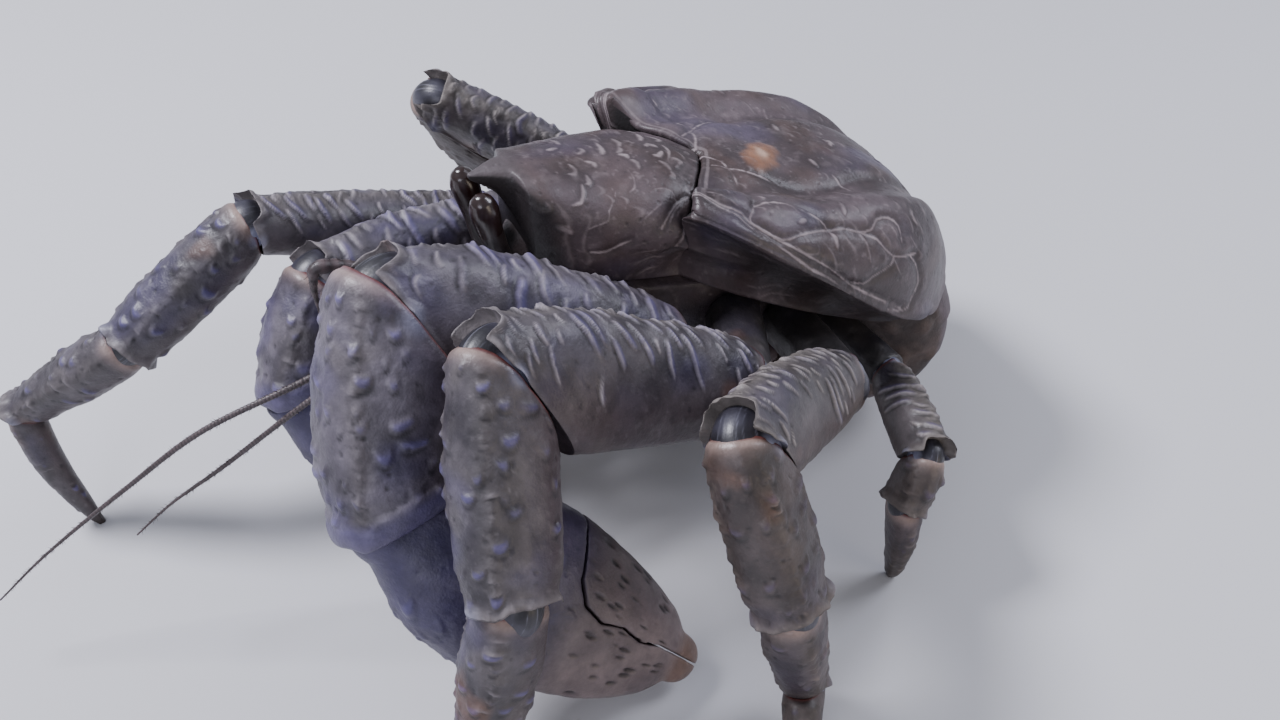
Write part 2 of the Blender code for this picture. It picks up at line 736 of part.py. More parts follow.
def make_base(name, limb, frames, colour):
    """The short base of a limb, from the flat side of the thorax to the first joint."""
    coxa, base = Vector(limb["coxa"]), Vector(limb["base"])
    along = (base - coxa).normalized()
    radius = limb["base_radius"]
    up = Vector((0.0, 0.0, 1.0))
    up = (up - along * up.dot(along)).normalized()
    stations = [(coxa + (base - coxa) * t, radius) for t in BASE_STATIONS]
    stations += [(base + along * radius * reach, radius * share) for reach, share in reversed(ROUND_END)]
    rings = [section(centre, along, up, size, size, size, BASE_SIDES) for centre, size in stations]
    shape = loft(rings, last=base + along * radius)
    outward = Vector((math.copysign(1.0, coxa.x), 0.0, 0.0))
    wall = Vector((coxa.x, 0.0, 0.0)) + outward * GAP
    cut(shape, wall, -outward)
    cut_ends(shape, None, joint_plane(base, along, frames[0][0]))
    make_object(name + "_base", to_mesh(name + "_base", shape), colour, LIMB_ROUGHNESS)
    return along


def make_leg(name, limb, colour):
    """A walking leg: base, merus, carpus, propodus and dactyl, whose tip stands flat on the floor."""
    points = limb_joints(limb)
    frames = limb_frames(points)
    before = make_base(name, limb, frames, colour)
    kinds = list(SEGMENTS)
    if len(frames) == 3:
        kinds = ["merus", "carpus", "dactyl"]
    for i, (along, up) in enumerate(frames):
        last = i == len(frames) - 1
        crest = CREST if kinds[i] == "merus" else 0.0
        bend = DACTYL_BEND if last else 0.0
        shape = segment_shape(
            kinds[i], points[i], points[i + 1], up, segment_size(limb, i),
            LEG_SIDES, bend, crest, (True, not last),
        )
        end_plane = None if last else joint_plane(points[i + 1], along, frames[i + 1][0])
        cut_ends(shape, joint_plane(points[i], before, along), end_plane)
        if last:
            cut(shape, Vector((0.0, 0.0, FLOOR)), Vector((0.0, 0.0, -1.0)))
        node = f"{name}_{kinds[i]}"
        make_object(node, to_mesh(node, shape), colour, LIMB_ROUGHNESS)
        before = along


def finger_prism(base, along, up, side, length, height, shift):
    """The space of the movable finger: past the shoulder of the palm and inside of the bite line."""
    rings = []
    for across in (-BITE_WIDTH, BITE_WIDTH):
        ring = []
        for t, share in BITE:
            point = base + along * (t * length + shift) + up * (share * height - shift)
            ring.append(point + side * across)
        rings.append(ring)
    return loft(rings)


def make_claw(name, limb):
    """A pincer limb: base, merus, carpus, palm with its fixed finger, and the movable finger."""
    points = limb_joints(limb)
    frames = limb_frames(points)
    before = make_base(name, limb, frames, LIMB_COLOUR)
    for i, kind in enumerate(("merus", "carpus")):
        along, up = frames[i]
        crest = CREST if kind == "merus" else 0.0
        shape = segment_shape(
            kind, points[i], points[i + 1], up, segment_size(limb, i), CLAW_SIDES, 0.0, crest
        )
        planes = joint_plane(points[i], before, along), joint_plane(points[i + 1], along, frames[i + 1][0])
        cut_ends(shape, *planes)
        node = f"{name}_{kind}"
        make_object(node, to_mesh(node, shape), LIMB_COLOUR, LIMB_ROUGHNESS)
        before = along
    along, up = frames[2]
    side = along.cross(up).normalized()
    length = limb["runs"][2][0]
    size = segment_size(limb, 2)
    pieces = ((name + "_palm", "DIFFERENCE", 0.0), (name + "_dactyl", "INTERSECT", GAP))
    for node, operation, shift in pieces:
        whole = segment_shape("chela", points[2], points[3], up, size, PALM_SIDES)
        cut_ends(whole, joint_plane(points[2], before, along), None)
        prism = finger_prism(points[2], along, up, side, length, size[0], shift)
        shape = combine(node, whole, prism, operation)
        make_object(node, to_mesh(node, shape), LIMB_COLOUR, LIMB_ROUGHNESS)


def route(points, spacing):
    """Points along a smooth curve through the route's points. Its first stretch stays straight."""
    ends = points + [points[-1] * 2 - points[-2]]
    line = [points[0]]
    for i in range(1, len(points) - 1):
        a, b, c, d = ends[i - 1:i + 3]
        steps = max(1, round((c - b).length / spacing))
        for k in range(steps):
            t = k / steps
            even = 2 * b + (2 * a - 5 * b + 4 * c - d) * t ** 2
            odd = (c - a) * t + (3 * b - a - 3 * c + d) * t ** 3
            line.append((even + odd) / 2)
    line.append(points[-1])
    return line


def make_feeler(name, feeler, side):
    """A tapering feeler as a curve with a round bevel, rooted flat on the face of the head."""
    x, z = feeler["root"]
    points = [Vector((side * x, HEAD_FACE, z)), Vector((side * x, HEAD_FACE - HEAD_LEAD, z))]
    points += [Vector((side * px, py, pz)) for px, py, pz in feeler["route"]]
    line = route(points, feeler["spacing"])
    curve = bpy.data.curves.new(name, "CURVE")
    curve.dimensions = "3D"
    curve.bevel_depth = 1.0
    curve.bevel_resolution = FEELER_RESOLUTION
    curve.use_fill_caps = True
    spline = curve.splines.new("POLY")
    spline.points.add(len(line) - 1)
    for i, point in enumerate(line):
        spline.points[i].co = (*point, 1.0)
        spline.points[i].radius = smooth(feeler["radii"], i / (len(line) - 1))
    holder = bpy.data.objects.new(name + "_curve", curve)
    CUTTERS.objects.link(holder)
    graph = bpy.context.evaluated_depsgraph_get()
    mesh = bpy.data.meshes.new_from_object(holder.evaluated_get(graph))
    bpy.data.objects.remove(holder)
    shape = bmesh.new()
    shape.from_mesh(mesh)
    bmesh.ops.remove_doubles(shape, verts=shape.verts, dist=WELD)
    finish_shape(shape)
    make_object(name, to_mesh(name, shape), feeler["colour"], FEELER_ROUGHNESS)


def make_head():
    """Eyes on their stalks, antennules, antennae and the outer mouth limbs."""
    for side, word in ((1, "left"), (-1, "right")):
        make_feeler("eye_" + word, EYE, side)
        make_feeler("antennule_" + word, ANTENNULE, side)
        make_feeler("maxilliped_" + word, MAXILLIPED, side)
    make_feeler("antenna_left", ANTENNA_LEFT, 1)
    make_feeler("antenna_right", ANTENNA_RIGHT, -1)


def clear_scene():
    """Removes what the scene holds."""
    for item in list(bpy.data.objects):
        bpy.data.objects.remove(item)


def centre_stance():
    """Moves the whole crab so that the middle of its footprint is the origin."""
    meshes = [part for part in PARTS.objects if part.type == "MESH"]
    corners = [Vector(corner) for part in meshes for corner in part.bound_box]
    low = [min(c[i] for c in corners) for i in range(2)]
    high = [max(c[i] for c in corners) for i in range(2)]
    STANCE.location = (-(low[0] + high[0]) / 2, -(low[1] + high[1]) / 2, 0.0)


def main():
    """Builds every part."""
    make_shield()
    make_back()
    make_thorax()
    make_abdomen()
    make_head()
    for name, limb in CLAWS.items():
        make_claw(name, limb)
    for name, limb in LEGS.items():
        make_leg(name, limb, LIMB_COLOUR if "leg2" in name else REAR_LIMB_COLOUR)
    bpy.context.view_layer.update()
    centre_stance()


clear_scene()
PARTS = bpy.data.collections.new("coconut_crab")
CUTTERS = bpy.data.collections.new("cutters")
bpy.context.scene.collection.children.link(PARTS)
bpy.context.scene.collection.children.link(CUTTERS)
STANCE = bpy.data.objects.new("stance", None)
PARTS.objects.link(STANCE)
main()
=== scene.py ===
"""The looks of a life-size coconut crab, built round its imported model.

Metres, +Z up, head towards -Y, the crab's left side at +X. Every piece takes the place of its CAD
node. Surfaces are fine grids whose relief and colour follow the same fields.
"""

import math

import bmesh
import bpy
import numpy as np
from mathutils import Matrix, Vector


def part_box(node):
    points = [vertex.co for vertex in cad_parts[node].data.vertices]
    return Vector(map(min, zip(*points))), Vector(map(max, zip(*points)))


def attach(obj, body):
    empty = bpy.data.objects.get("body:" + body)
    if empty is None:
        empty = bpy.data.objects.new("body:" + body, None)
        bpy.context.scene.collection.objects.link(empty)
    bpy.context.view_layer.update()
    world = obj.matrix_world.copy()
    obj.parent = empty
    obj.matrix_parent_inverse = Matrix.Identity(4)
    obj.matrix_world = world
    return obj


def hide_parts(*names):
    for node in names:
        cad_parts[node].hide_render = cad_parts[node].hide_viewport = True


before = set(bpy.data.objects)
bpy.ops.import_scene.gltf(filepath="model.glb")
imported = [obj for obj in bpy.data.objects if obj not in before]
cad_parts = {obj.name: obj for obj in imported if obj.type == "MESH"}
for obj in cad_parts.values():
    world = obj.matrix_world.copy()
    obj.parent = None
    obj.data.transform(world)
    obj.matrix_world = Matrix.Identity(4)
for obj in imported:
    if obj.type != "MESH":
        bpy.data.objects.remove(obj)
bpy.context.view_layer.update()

UP = np.array((0.0, 0.0, 1.0))
# Distance between the points of a limb's grid, and the power that shapes round sections.
SPACING = 0.00058
SECTION_POWER = 0.86

# Carapace: pairs of station and size along the body, in the crab's own frame.
ROSTRUM_TIP = -0.081
SHIELD_HALF = (
    (-0.081, 0.0008), (-0.074, 0.0042), (-0.069, 0.0072), (-0.0665, 0.0145),
    (-0.058, 0.0200), (-0.040, 0.0255), (-0.020, 0.0290), (0.006, 0.0310),
)
SHIELD_TOP = (
    (-0.081, 0.1465), (-0.072, 0.1475), (-0.055, 0.1430), (-0.039, 0.1395),
    (-0.015, 0.1345), (0.006, 0.1300),
)
SHIELD_EDGE = (
    (-0.081, 0.1455), (-0.069, 0.1400), (-0.062, 0.1290), (-0.045, 0.1220),
    (-0.020, 0.1150), (0.006, 0.1120),
)
SHIELD_UNDER = ((-0.081, 0.1450), (-0.074, 0.1400), (-0.069, 0.1300), (-0.0665, 0.1190))
BACK_HALF = (
    (-0.030, 0.0330), (-0.022, 0.0375), (-0.010, 0.0465), (0.006, 0.0530), (0.026, 0.0565),
    (0.046, 0.0565), (0.062, 0.0535), (0.075, 0.0470), (0.085, 0.0390), (0.092, 0.0305),
    (0.098, 0.0165),
)
BACK_TOP = (
    (-0.030, 0.1440), (-0.015, 0.1370), (0.002, 0.1305), (0.014, 0.1270), (0.027, 0.1215),
    (0.045, 0.1180), (0.060, 0.1128), (0.075, 0.1032), (0.086, 0.0905), (0.093, 0.0800),
    (0.098, 0.0700),
)
BACK_EDGE = (
    (-0.030, 0.1350), (-0.018, 0.1320), (0.004, 0.1170), (0.037, 0.0890), (0.053, 0.0760),
    (0.070, 0.0650), (0.085, 0.0600), (0.098, 0.0660),
)
BACK_UNDER = ((0.072, 0.0530), (0.085, 0.0540), (0.098, 0.0640))
BACK_END = 0.098
LOBES_END = 0.076
# The seam under the carapace is two straight runs, seen from the side, that meet at SEAM_BEND.
SEAM_BEND = (0.002, 0.092)
SEAM_FRONT_SLOPE = 0.30
SEAM_REAR_SLOPE = 0.56
SEAM_GAP = 0.0002
# Across the body, an arc reaches WALL_START and a wall below it leads down to a narrower foot.
WALL_START = 0.80
WALL_SHARE = 0.20
SHIELD_FOOT = ((-0.060, 0.90), (-0.048, 0.90), (-0.020, 0.76))
BACK_FOOT = 0.75
SHIELD_WALL = ((-0.060, 0.20), (-0.048, 0.15), (-0.020, -0.44))
BACK_WALL = ((-0.030, -0.50), (0.020, -0.30), (0.060, -0.12), (0.098, 0.0))
SHIELD_BOXY = 0.68
BACK_BOXY = 0.60
LEAST_WALL = 0.0006
LOBE_RISE = 0.0036
LOBE_MIDDLE = 0.72
LOBE_WIDTH = 0.16
LOBE_DIP = 0.0026
DIP_MIDDLE = 0.46
DIP_WIDTH = 0.12
# The cervical groove, a shallow V from above: depth at the middle, and how far it runs forward.
GROOVE_MIDDLE = 0.002
GROOVE_REACH = 0.0245
GROOVE_HALF = 0.036
GROOVE_POWER = 1.25
CARAPACE_SEED = 900
FLANK_SEED = 940
SHIELD_GRID = (220, 330)
BACK_GRID = (340, 500)
# Rings of a rim: how far each has rolled over, in degrees, and its share of the way in.
ROLL = ((22, 0.0), (45, 0.0), (68, 0.0), (90, 0.0), (90, 0.2), (90, 0.6), (90, 1.0))
CLOSING_SHARES = (0.93, 0.80)

# Pale sutures of the back's near side. This and the next tables are in millimetres.
BACK_SUTURES = (
    ((-2.0, 1.9, 131.0), (1.2, 1.9, 130.5), (8.2, 4.9, 129.4), (12.7, 5.5, 129.0),
     (21.1, 4.3, 128.1), (30.8, 1.3, 131.3), (38.6, 0.2, 132.8)),
    ((38.6, 0.2, 132.8), (38.1, 7.5, 130.7), (40.8, 14.8, 127.3), (44.3, 20.5, 123.6),
     (47.2, 24.8, 119.7)),
    ((38.6, 0.2, 132.8), (41.7, -3.1, 132.2), (44.1, -4.3, 131.0), (46.8, -0.9, 128.3),
     (49.9, 4.2, 124.6), (48.8, 13.8, 122.8), (47.2, 24.8, 119.7)),
    ((47.2, 24.8, 119.7), (47.0, 31.0, 117.2), (48.0, 35.9, 114.8), (47.4, 41.1, 113.6),
     (44.8, 44.8, 114.6), (44.3, 50.1, 113.1), (45.9, 53.7, 109.4), (49.5, 53.1, 105.1)),
    ((48.0, 35.9, 114.8), (49.7, 42.0, 110.7), (51.6, 44.5, 106.9), (52.7, 48.4, 103.0),
     (51.6, 54.4, 100.3), (50.1, 60.0, 98.1)),
    ((52.7, 48.4, 103.0), (54.2, 45.6, 101.2), (55.7, 37.8, 100.3), (56.2, 33.7, 99.0),
     (56.2, 28.7, 101.3)),
    ((51.1, 57.1, 98.9), (51.9, 59.3, 94.3), (53.1, 60.4, 87.3), (54.4, 57.3, 82.8),
     (54.9, 55.4, 79.4), (56.0, 51.0, 80.2), (56.3, 45.3, 83.5)),
    ((32.7, -16.6, 139.6), (37.6, -12.1, 136.4), (40.9, -6.7, 133.6), (44.3, -4.4, 130.9),
     (50.5, 3.9, 124.1), (53.5, 11.3, 117.8), (55.6, 19.5, 110.5), (56.2, 28.1, 100.9),
     (56.4, 38.6, 91.7), (55.8, 51.7, 80.8)),
    ((33.4, -17.0, 139.2), (38.4, -12.6, 135.9), (41.8, -7.9, 133.3), (45.4, -5.7, 130.4),
     (51.8, 3.3, 121.7), (54.1, 11.3, 113.5), (56.0, 21.2, 104.8), (54.8, 30.8, 93.0),
     (51.9, 43.3, 80.5), (53.0, 57.0, 72.2), (49.7, 70.5, 64.9)),
    ((-9.9, 1.1, 130.5), (-16.8, 12.4, 126.7), (-24.0, 27.0, 120.4), (-24.5, 41.5, 117.0),
     (-21.0, 56.0, 113.0), (-20.0, 70.0, 106.6), (-15.9, 80.0, 98.0)),
)
# Short pale lines of the back.
BACK_LINES = (
    ((47.2, 24.8, 119.7), (50.1, 24.4, 117.3), (52.4, 23.7, 115.2)),
    ((48.0, 35.9, 114.8), (50.5, 36.6, 111.8), (54.2, 36.4, 106.1)),
    ((52.7, 48.4, 103.0), (54.4, 48.5, 98.8), (54.9, 52.4, 91.8)),
    ((22.1, 61.6, 109.4), (30.7, 57.9, 111.9), (40.1, 53.3, 114.0)),
    ((38.4, 62.5, 109.7), (42.5, 62.0, 107.0), (43.5, 63.9, 104.1)),
    ((51.6, 7.7, 121.9), (53.2, 10.8, 118.5), (53.5, 15.1, 117.1), (52.3, 16.2, 118.5)),
    ((53.0, 10.2, 119.2), (55.6, 19.5, 110.5), (55.7, 25.0, 107.6)),
    ((-2.0, 64.7, 110.0), (9.3, 61.8, 111.3), (14.7, 61.6, 111.2)),
    ((9.6, 39.8, 118.7), (15.0, 40.4, 118.3)),
    ((19.0, 43.3, 117.1), (24.5, 44.6, 115.3), (29.3, 46.1, 115.3)),
    ((37.4, 33.9, 120.4), (43.4, 32.2, 119.6)),
    ((45.9, 11.7, 125.8), (45.2, 15.4, 124.9)),
    ((-2.9, 54.0, 114.9), (2.1, 56.4, 114.1)),
    ((4.1, 78.4, 99.6), (13.3, 79.6, 97.6)),
    ((-11.6, 78.2, 99.5), (-2.4, 78.4, 99.7)),
    ((32.6, -14.7, 139.2), (34.9, -10.6, 137.4), (39.4, -6.4, 134.4)),
    ((20.9, -4.5, 130.9), (33.3, -7.2, 136.4), (40.0, -5.6, 133.8)),
    ((42.4, -15.3, 131.8), (42.4, -13.9, 127.4), (39.9, -14.0, 121.7)),
    ((44.1, -13.2, 129.6), (42.6, -11.4, 122.6), (39.2, -10.2, 114.4), (36.9, -11.0, 109.6),
     (37.6, -8.9, 107.2), (37.5, -8.0, 104.7)),
    ((44.8, -7.0, 119.9), (41.6, -7.3, 114.4), (37.8, -8.4, 107.2)),
    ((45.5, -4.2, 116.6), (41.0, -1.4, 106.8), (37.4, -6.5, 100.5)),
    ((42.5, 2.9, 104.9), (40.2, 3.0, 96.0), (27.0, 9.0, 77.7)),
    ((37.5, -8.0, 104.7), (38.6, -4.8, 102.9), (41.6, 1.7, 103.3)),
)
# Folds of the shield's side.
SHIELD_SUTURES = (
    ((28.8, -17.5, 126.0), (28.6, -20.3, 118.9), (28.2, -24.2, 114.7), (27.2, -28.5, 111.4),
     (24.9, -34.0, 106.3)),
    ((28.6, -19.0, 124.0), (28.7, -20.3, 118.3), (28.1, -24.1, 113.2), (27.3, -26.1, 108.5),
     (26.2, -26.4, 104.3)),
    ((22.3, -14.6, 130.6), (23.6, -19.0, 130.4), (25.7, -23.1, 128.6), (26.7, -26.0, 126.3),
     (27.3, -27.5, 124.6)),
    ((22.4, -50.5, 120.1), (23.7, -45.9, 119.6), (25.0, -41.8, 121.6), (25.7, -38.0, 122.7)),
)
# Short pale lines of the shield.
SHIELD_LINES = (
    ((19.7, -27.7, 134.1), (18.7, -25.3, 134.2), (20.0, -20.0, 132.7), (26.0, -19.0, 130.5)),
    ((23.2, -25.4, 131.4), (24.8, -31.0, 130.2), (25.4, -38.4, 126.0)),
    ((23.5, -17.0, 130.3), (25.3, -21.1, 128.9), (27.3, -25.1, 125.1)),
    ((21.4, -53.3, 128.9), (22.7, -48.7, 130.5), (23.0, -44.7, 131.2), (21.8, -43.5, 133.9),
     (20.1, -40.9, 135.7), (17.3, -38.8, 137.0)),
    ((18.3, -60.8, 131.9), (19.9, -57.6, 130.5), (20.6, -55.8, 128.4)),
    ((13.6, -66.7, 139.8), (15.9, -64.5, 137.4), (17.0, -61.7, 137.5), (16.0, -62.2, 139.7)),
    ((3.0, -48.5, 141.4), (6.0, -47.6, 141.1), (8.6, -48.9, 141.2), (8.3, -51.0, 141.7)),
    ((18.3, -54.9, 137.5), (18.4, -51.5, 137.6), (16.0, -49.5, 139.1), (13.1, -48.5, 140.2)),
    ((9.3, -45.2, 140.4), (12.9, -45.8, 139.7), (13.3, -47.2, 139.9)),
    ((9.1, -30.4, 137.3), (13.2, -30.4, 136.7), (17.3, -32.1, 136.0), (18.5, -34.8, 135.7)),
    ((3.8, -27.1, 136.8), (6.1, -25.6, 136.4), (9.8, -26.6, 136.5)),
    ((0.4, -29.5, 137.5), (1.8, -27.2, 137.0), (3.8, -27.1, 136.8)),
    ((-12.3, -16.1, 134.1), (-8.5, -16.2, 134.4), (-6.4, -17.6, 134.8)),
    ((-10.4, -13.4, 133.7), (-7.2, -9.4, 133.0), (-5.4, -12.3, 133.7)),
    ((-2.8, -11.2, 133.6), (1.6, -11.1, 133.6), (7.1, -14.4, 134.1)),
    ((2.5, -17.8, 135.0), (3.8, -16.0, 134.6), (1.2, -13.4, 134.1)),
    ((14.5, -18.2, 134.1), (14.1, -16.1, 133.7), (12.5, -16.5, 134.2)),
    ((-8.3, -32.9, 137.9), (-2.6, -33.4, 138.2), (-0.5, -34.4, 138.5)),
    ((-6.3, -40.5, 139.5), (-3.9, -39.9, 139.5), (-2.1, -42.5, 140.2)),
    ((-6.1, -51.7, 142.0), (-7.5, -47.0, 140.9)),
)
# Wavy lines on the thorax, low on the flank.
FLANK_LINES = (
    ((27.0, -20.7, 96.7), (31.2, -16.8, 98.6), (27.0, -7.6, 89.2), (35.6, -9.1, 97.4)),
    ((27.0, -8.8, 85.6), (27.0, -3.5, 86.5), (37.7, -3.9, 96.8), (39.6, -0.7, 99.1)),
    ((27.0, -8.7, 83.3), (27.0, -1.9, 80.9), (27.0, -0.5, 79.3), (27.0, 10.5, 75.5)),
    ((27.0, -12.5, 80.1), (27.0, -5.8, 77.3), (27.0, -0.4, 76.9), (27.0, 6.6, 73.8),
     (27.0, 9.2, 75.3)),
    ((27.0, -9.8, 77.7), (27.0, -1.6, 74.0), (27.0, 1.0, 75.6)),
    ((27.0, -30.8, 101.7), (27.0, -24.5, 98.5), (27.0, -21.2, 91.4), (27.0, -21.8, 87.2)),
)
WORN_SPOT = (6.5, 22.2, 123.5)

# Limbs: joints follow from lengths, headings and pitches, as in the solids. Heights are above each
# segment's line, depths below it. A limb without depths has its heights there too.
LEGS = {
    "leg2_left": {
        "coxa": (0.0270, 0.0010, 0.0785), "base": (0.0660, -0.0180, 0.0860),
        "runs": ((0.0988, 4.6, 29.2), (0.065, 67, -54), (0.056, 32, -67), (0.055, 42, None)),
        "heights": (0.0175, 0.0160, 0.0120, 0.0085), "depths": (0.0235, 0.0165, 0.0120, 0.0085),
        "halves": (0.0098, 0.0125, 0.0092, 0.0068),
    },
    "leg2_right": {
        "coxa": (-0.0270, 0.0010, 0.0780), "base": (-0.0650, -0.0270, 0.0690),
        "runs": ((0.1226, 6, 21.1), (0.059, 0.4, -34.4), (0.053, -26.3, -34.4), (0.054, 126, None)),
        "heights": (0.0096, 0.0102, 0.0092, 0.0062), "depths": (0.0115, 0.0124, 0.0104, 0.0066),
        "halves": (0.0095, 0.0105, 0.0082, 0.0058),
    },
    "leg3_left": {
        "coxa": (0.0270, 0.0220, 0.0680), "base": (0.0690, 0.0180, 0.0720),
        "runs": ((0.0866, 33, 27.2), (0.055, 106, -66), (0.045, 165, -80), (0.040, 57, None)),
        "heights": (0.0160, 0.0150, 0.0115, 0.0080), "depths": (0.0165, 0.0150, 0.0115, 0.0080),
        "halves": (0.0100, 0.0120, 0.0090, 0.0065),
    },
    "leg3_right": {
        "coxa": (-0.0270, 0.0220, 0.0680), "base": (-0.0690, 0.0090, 0.0640),
        "runs": ((0.0841, -21.6, 34.5), (0.057, -167, -57), (0.046, -165, -60),
                 (0.034, -120, None)),
        "heights": (0.0135, 0.0125, 0.0100, 0.0075), "halves": (0.0095, 0.0105, 0.0085, 0.0062),
    },
    "leg4_left": {
        "coxa": (0.0270, 0.0430, 0.0580), "base": (0.0600, 0.0470, 0.0560),
        "runs": ((0.040, 73, -2.5), (0.018, 20, -60), (0.039, -140, None)),
        "heights": (0.0095, 0.0085, 0.0080), "halves": (0.0070, 0.0070, 0.0058),
    },
    "leg4_right": {
        "coxa": (-0.0270, 0.0430, 0.0580), "base": (-0.0600, 0.0470, 0.0560),
        "runs": ((0.040, -73, -2.5), (0.018, -20, -60), (0.039, 140, None)),
        "heights": (0.0095, 0.0085, 0.0080), "halves": (0.0070, 0.0070, 0.0058),
    },
}
CLAWS = {
    "claw_left": {
        "coxa": (0.0270, -0.0400, 0.0885), "base": (0.0435, -0.0380, 0.0920),
        "runs": ((0.0916, -6, 27), (0.061, 59, -57), (0.108, 152, -40)),
        "heights": (0.0200, 0.0230, 0.0320), "halves": (0.0126, 0.0185, 0.0175),
    },
    "claw_right": {
        "coxa": (-0.0270, -0.0400, 0.0885), "base": (-0.0420, -0.0380, 0.0890),
        "runs": ((0.0906, 11.0, 7.7), (0.0371, 34.6, -54.5), (0.090, 158, -40)),
        "heights": (0.0150, 0.0150, 0.0235), "depths": (0.0155, 0.0150, 0.0240),
        "halves": (0.0110, 0.0140, 0.0140),
    },
}
# Shapes of the segments as shares of height, depth, half width and length. Where a shape has no
# bottom, its top serves below the line too.
SHAPES = {
    "merus": {
        "top": ((0.0, 0.72), (0.35, 0.95), (0.75, 1.06), (1.0, 0.92)),
        "bottom": ((0.0, 0.72), (0.4, 0.88), (0.8, 0.98), (1.0, 0.88)),
        "half": ((0.0, 0.95), (0.4, 1.0), (0.8, 1.06), (1.0, 1.0)),
    },
    "carpus": {
        "top": ((0.0, 0.92), (0.4, 1.05), (0.8, 0.98), (1.0, 0.80)),
        "bottom": ((0.0, 0.88), (0.4, 0.98), (0.8, 0.95), (1.0, 0.78)),
        "half": ((0.0, 0.85), (0.4, 1.0), (0.8, 0.98), (1.0, 0.85)),
    },
    "propodus": {
        "top": ((0.0, 0.95), (0.3, 1.05), (0.8, 0.85), (1.0, 0.72)),
        "half": ((0.0, 0.95), (0.3, 1.05), (0.8, 0.85), (1.0, 0.74)),
    },
    "dactyl": {
        "top": ((0.0, 1.0), (0.4, 0.85), (0.85, 0.42), (1.0, 0.16)),
        "half": ((0.0, 1.0), (0.4, 0.85), (0.85, 0.46), (1.0, 0.20)),
    },
    "chela": {
        "top": ((0.0, 0.50), (0.18, 0.86), (0.42, 1.0), (0.70, 0.86), (0.92, 0.55), (1.0, 0.30)),
        "bottom": ((0.0, 0.50), (0.18, 0.72), (0.42, 0.84), (0.70, 0.70), (0.92, 0.44),
                   (1.0, 0.25)),
        "half": ((0.0, 0.70), (0.18, 0.96), (0.42, 1.0), (0.70, 0.74), (0.92, 0.46), (1.0, 0.28)),
    },
}
# The line between a pincer's two fingers, as shares of its length and height, with blunt teeth.
BITE = (
    (0.50, -1.6), (0.50, -0.62), (0.53, -0.22), (0.58, -0.02), (0.66, 0.06), (0.74, 0.00),
    (0.82, 0.06), (0.90, 0.00), (1.25, 0.02), (1.25, -1.6),
)
DACTYL_BEND = 0.05
FOOT_SINK = 0.0006
WRIST_BEND = 0.30
PALM_VOXEL = 0.00062
BALL_GRID = (84, 44)
PALM_GRID = (110, 72)
# Rings of a limb's lip, as shares of its opening, and how far in each lies.
LIP_RINGS = ((0.985, 0.0004), (0.94, 0.0012), (0.85, 0.0020), (0.60, 0.0024), (0.30, 0.0026))
LIP_DEPTH = 0.0027
TIP_ROUNDING = 0.0004

# Relief of each kind of segment: height, pitch, width and slant of its scales, how far round they
# reach, their form and pale edges, the share of them that is there, and its crests, granules and
# pits. Lengths are in metres, reach and rows in radians.
STYLE_KEYS = (
    "scale", "pitch", "width", "slant", "reach", "tail", "front", "spread", "edge", "share",
    "crest", "rows", "granule", "pit", "rugged",
)
STYLE_ROWS = {
    "merus": (0.0010, 0.0049, 0.0104, 0.52, 2.0, -0.85, 0.13, 0.56, 1.0, 1.0,
              0.0013, (0.0,), 0.00012, 0.0002, 0.00016),
    "claw_merus": (0.0009, 0.0068, 0.0150, 0.12, 2.0, -0.85, 0.16, 0.58, 0.75, 1.0,
                   0.0015, (0.0,), 0.00012, 0.0002, 0.00018),
    "carpus": (0.0011, 0.0070, 0.0080, 0.10, 3.4, -0.44, 0.30, 0.34, 0.10, 0.60,
               0.0010, (-0.80, 0.80), 0.00018, 0.0004, 0.00034),
    "propodus": (0.0009, 0.0058, 0.0068, 0.15, 3.4, -0.44, 0.30, 0.34, 0.12, 0.55,
                 0.0009, (-0.85, 0.85), 0.00016, 0.0003, 0.00028),
    "dactyl": (0.0003, 0.0060, 0.0060, 0.0, 3.4, -0.44, 0.30, 0.33, 0.1, 0.5,
               0.0005, (-0.9, 0.0, 0.9), 0.00008, 0.0002, 0.00012),
    "chela": (0.0009, 0.0090, 0.0100, 0.10, 3.4, -0.45, 0.30, 0.34, 0.08, 0.55,
              0.0007, (0.0,), 0.00010, 0.0002, 0.00024),
}
STYLES = {kind: dict(zip(STYLE_KEYS, row)) for kind, row in STYLE_ROWS.items()}

# Colours, linear. The darkest colour of each shell palette is painted shade for hollows, pits and
# the undersides of scales.
LIMB = {
    "dark": (0.036, 0.031, 0.038), "light": (0.088, 0.077, 0.086), "pale": (0.38, 0.34, 0.36),
    "painted_shade": (0.011, 0.009, 0.013), "crust": (0.108, 0.094, 0.086), "warm": (0.24, 0.105, 0.050),
    "violet": (0.045, 0.038, 0.125), "under": (0.060, 0.040, 0.041),
}
CLAW = dict(
    LIMB, dark=(0.052, 0.045, 0.058), light=(0.128, 0.113, 0.138), violet=(0.064, 0.054, 0.150)
)
REAR = {
    "dark": (0.040, 0.033, 0.034), "light": (0.092, 0.078, 0.080), "pale": (0.36, 0.32, 0.30),
    "painted_shade": (0.012, 0.010, 0.010), "crust": (0.104, 0.090, 0.077), "warm": (0.28, 0.12, 0.045),
    "violet": (0.052, 0.042, 0.095), "under": (0.062, 0.040, 0.035),
}
SHELL = {
    "dark": (0.042, 0.030, 0.032), "light": (0.090, 0.067, 0.075), "pale": (0.44, 0.37, 0.38),
    "painted_shade": (0.009, 0.007, 0.008), "crust": (0.095, 0.073, 0.067), "warm": (0.34, 0.125, 0.045),
    "violet": (0.075, 0.063, 0.120), "under": (0.068, 0.040, 0.033),
}
MEMBRANE = {
    "dark": (0.010, 0.009, 0.013), "light": (0.036, 0.034, 0.050), "pale": (0.30, 0.30, 0.38),
}
COLLAR = (0.50, 0.36, 0.30)
RED_SKIN = (0.16, 0.035, 0.028)
# Bluish-white painted highlight on the smooth knobs at the ends of a joint's hinge.
CONDYLE_HIGHLIGHT = (0.26, 0.27, 0.38)
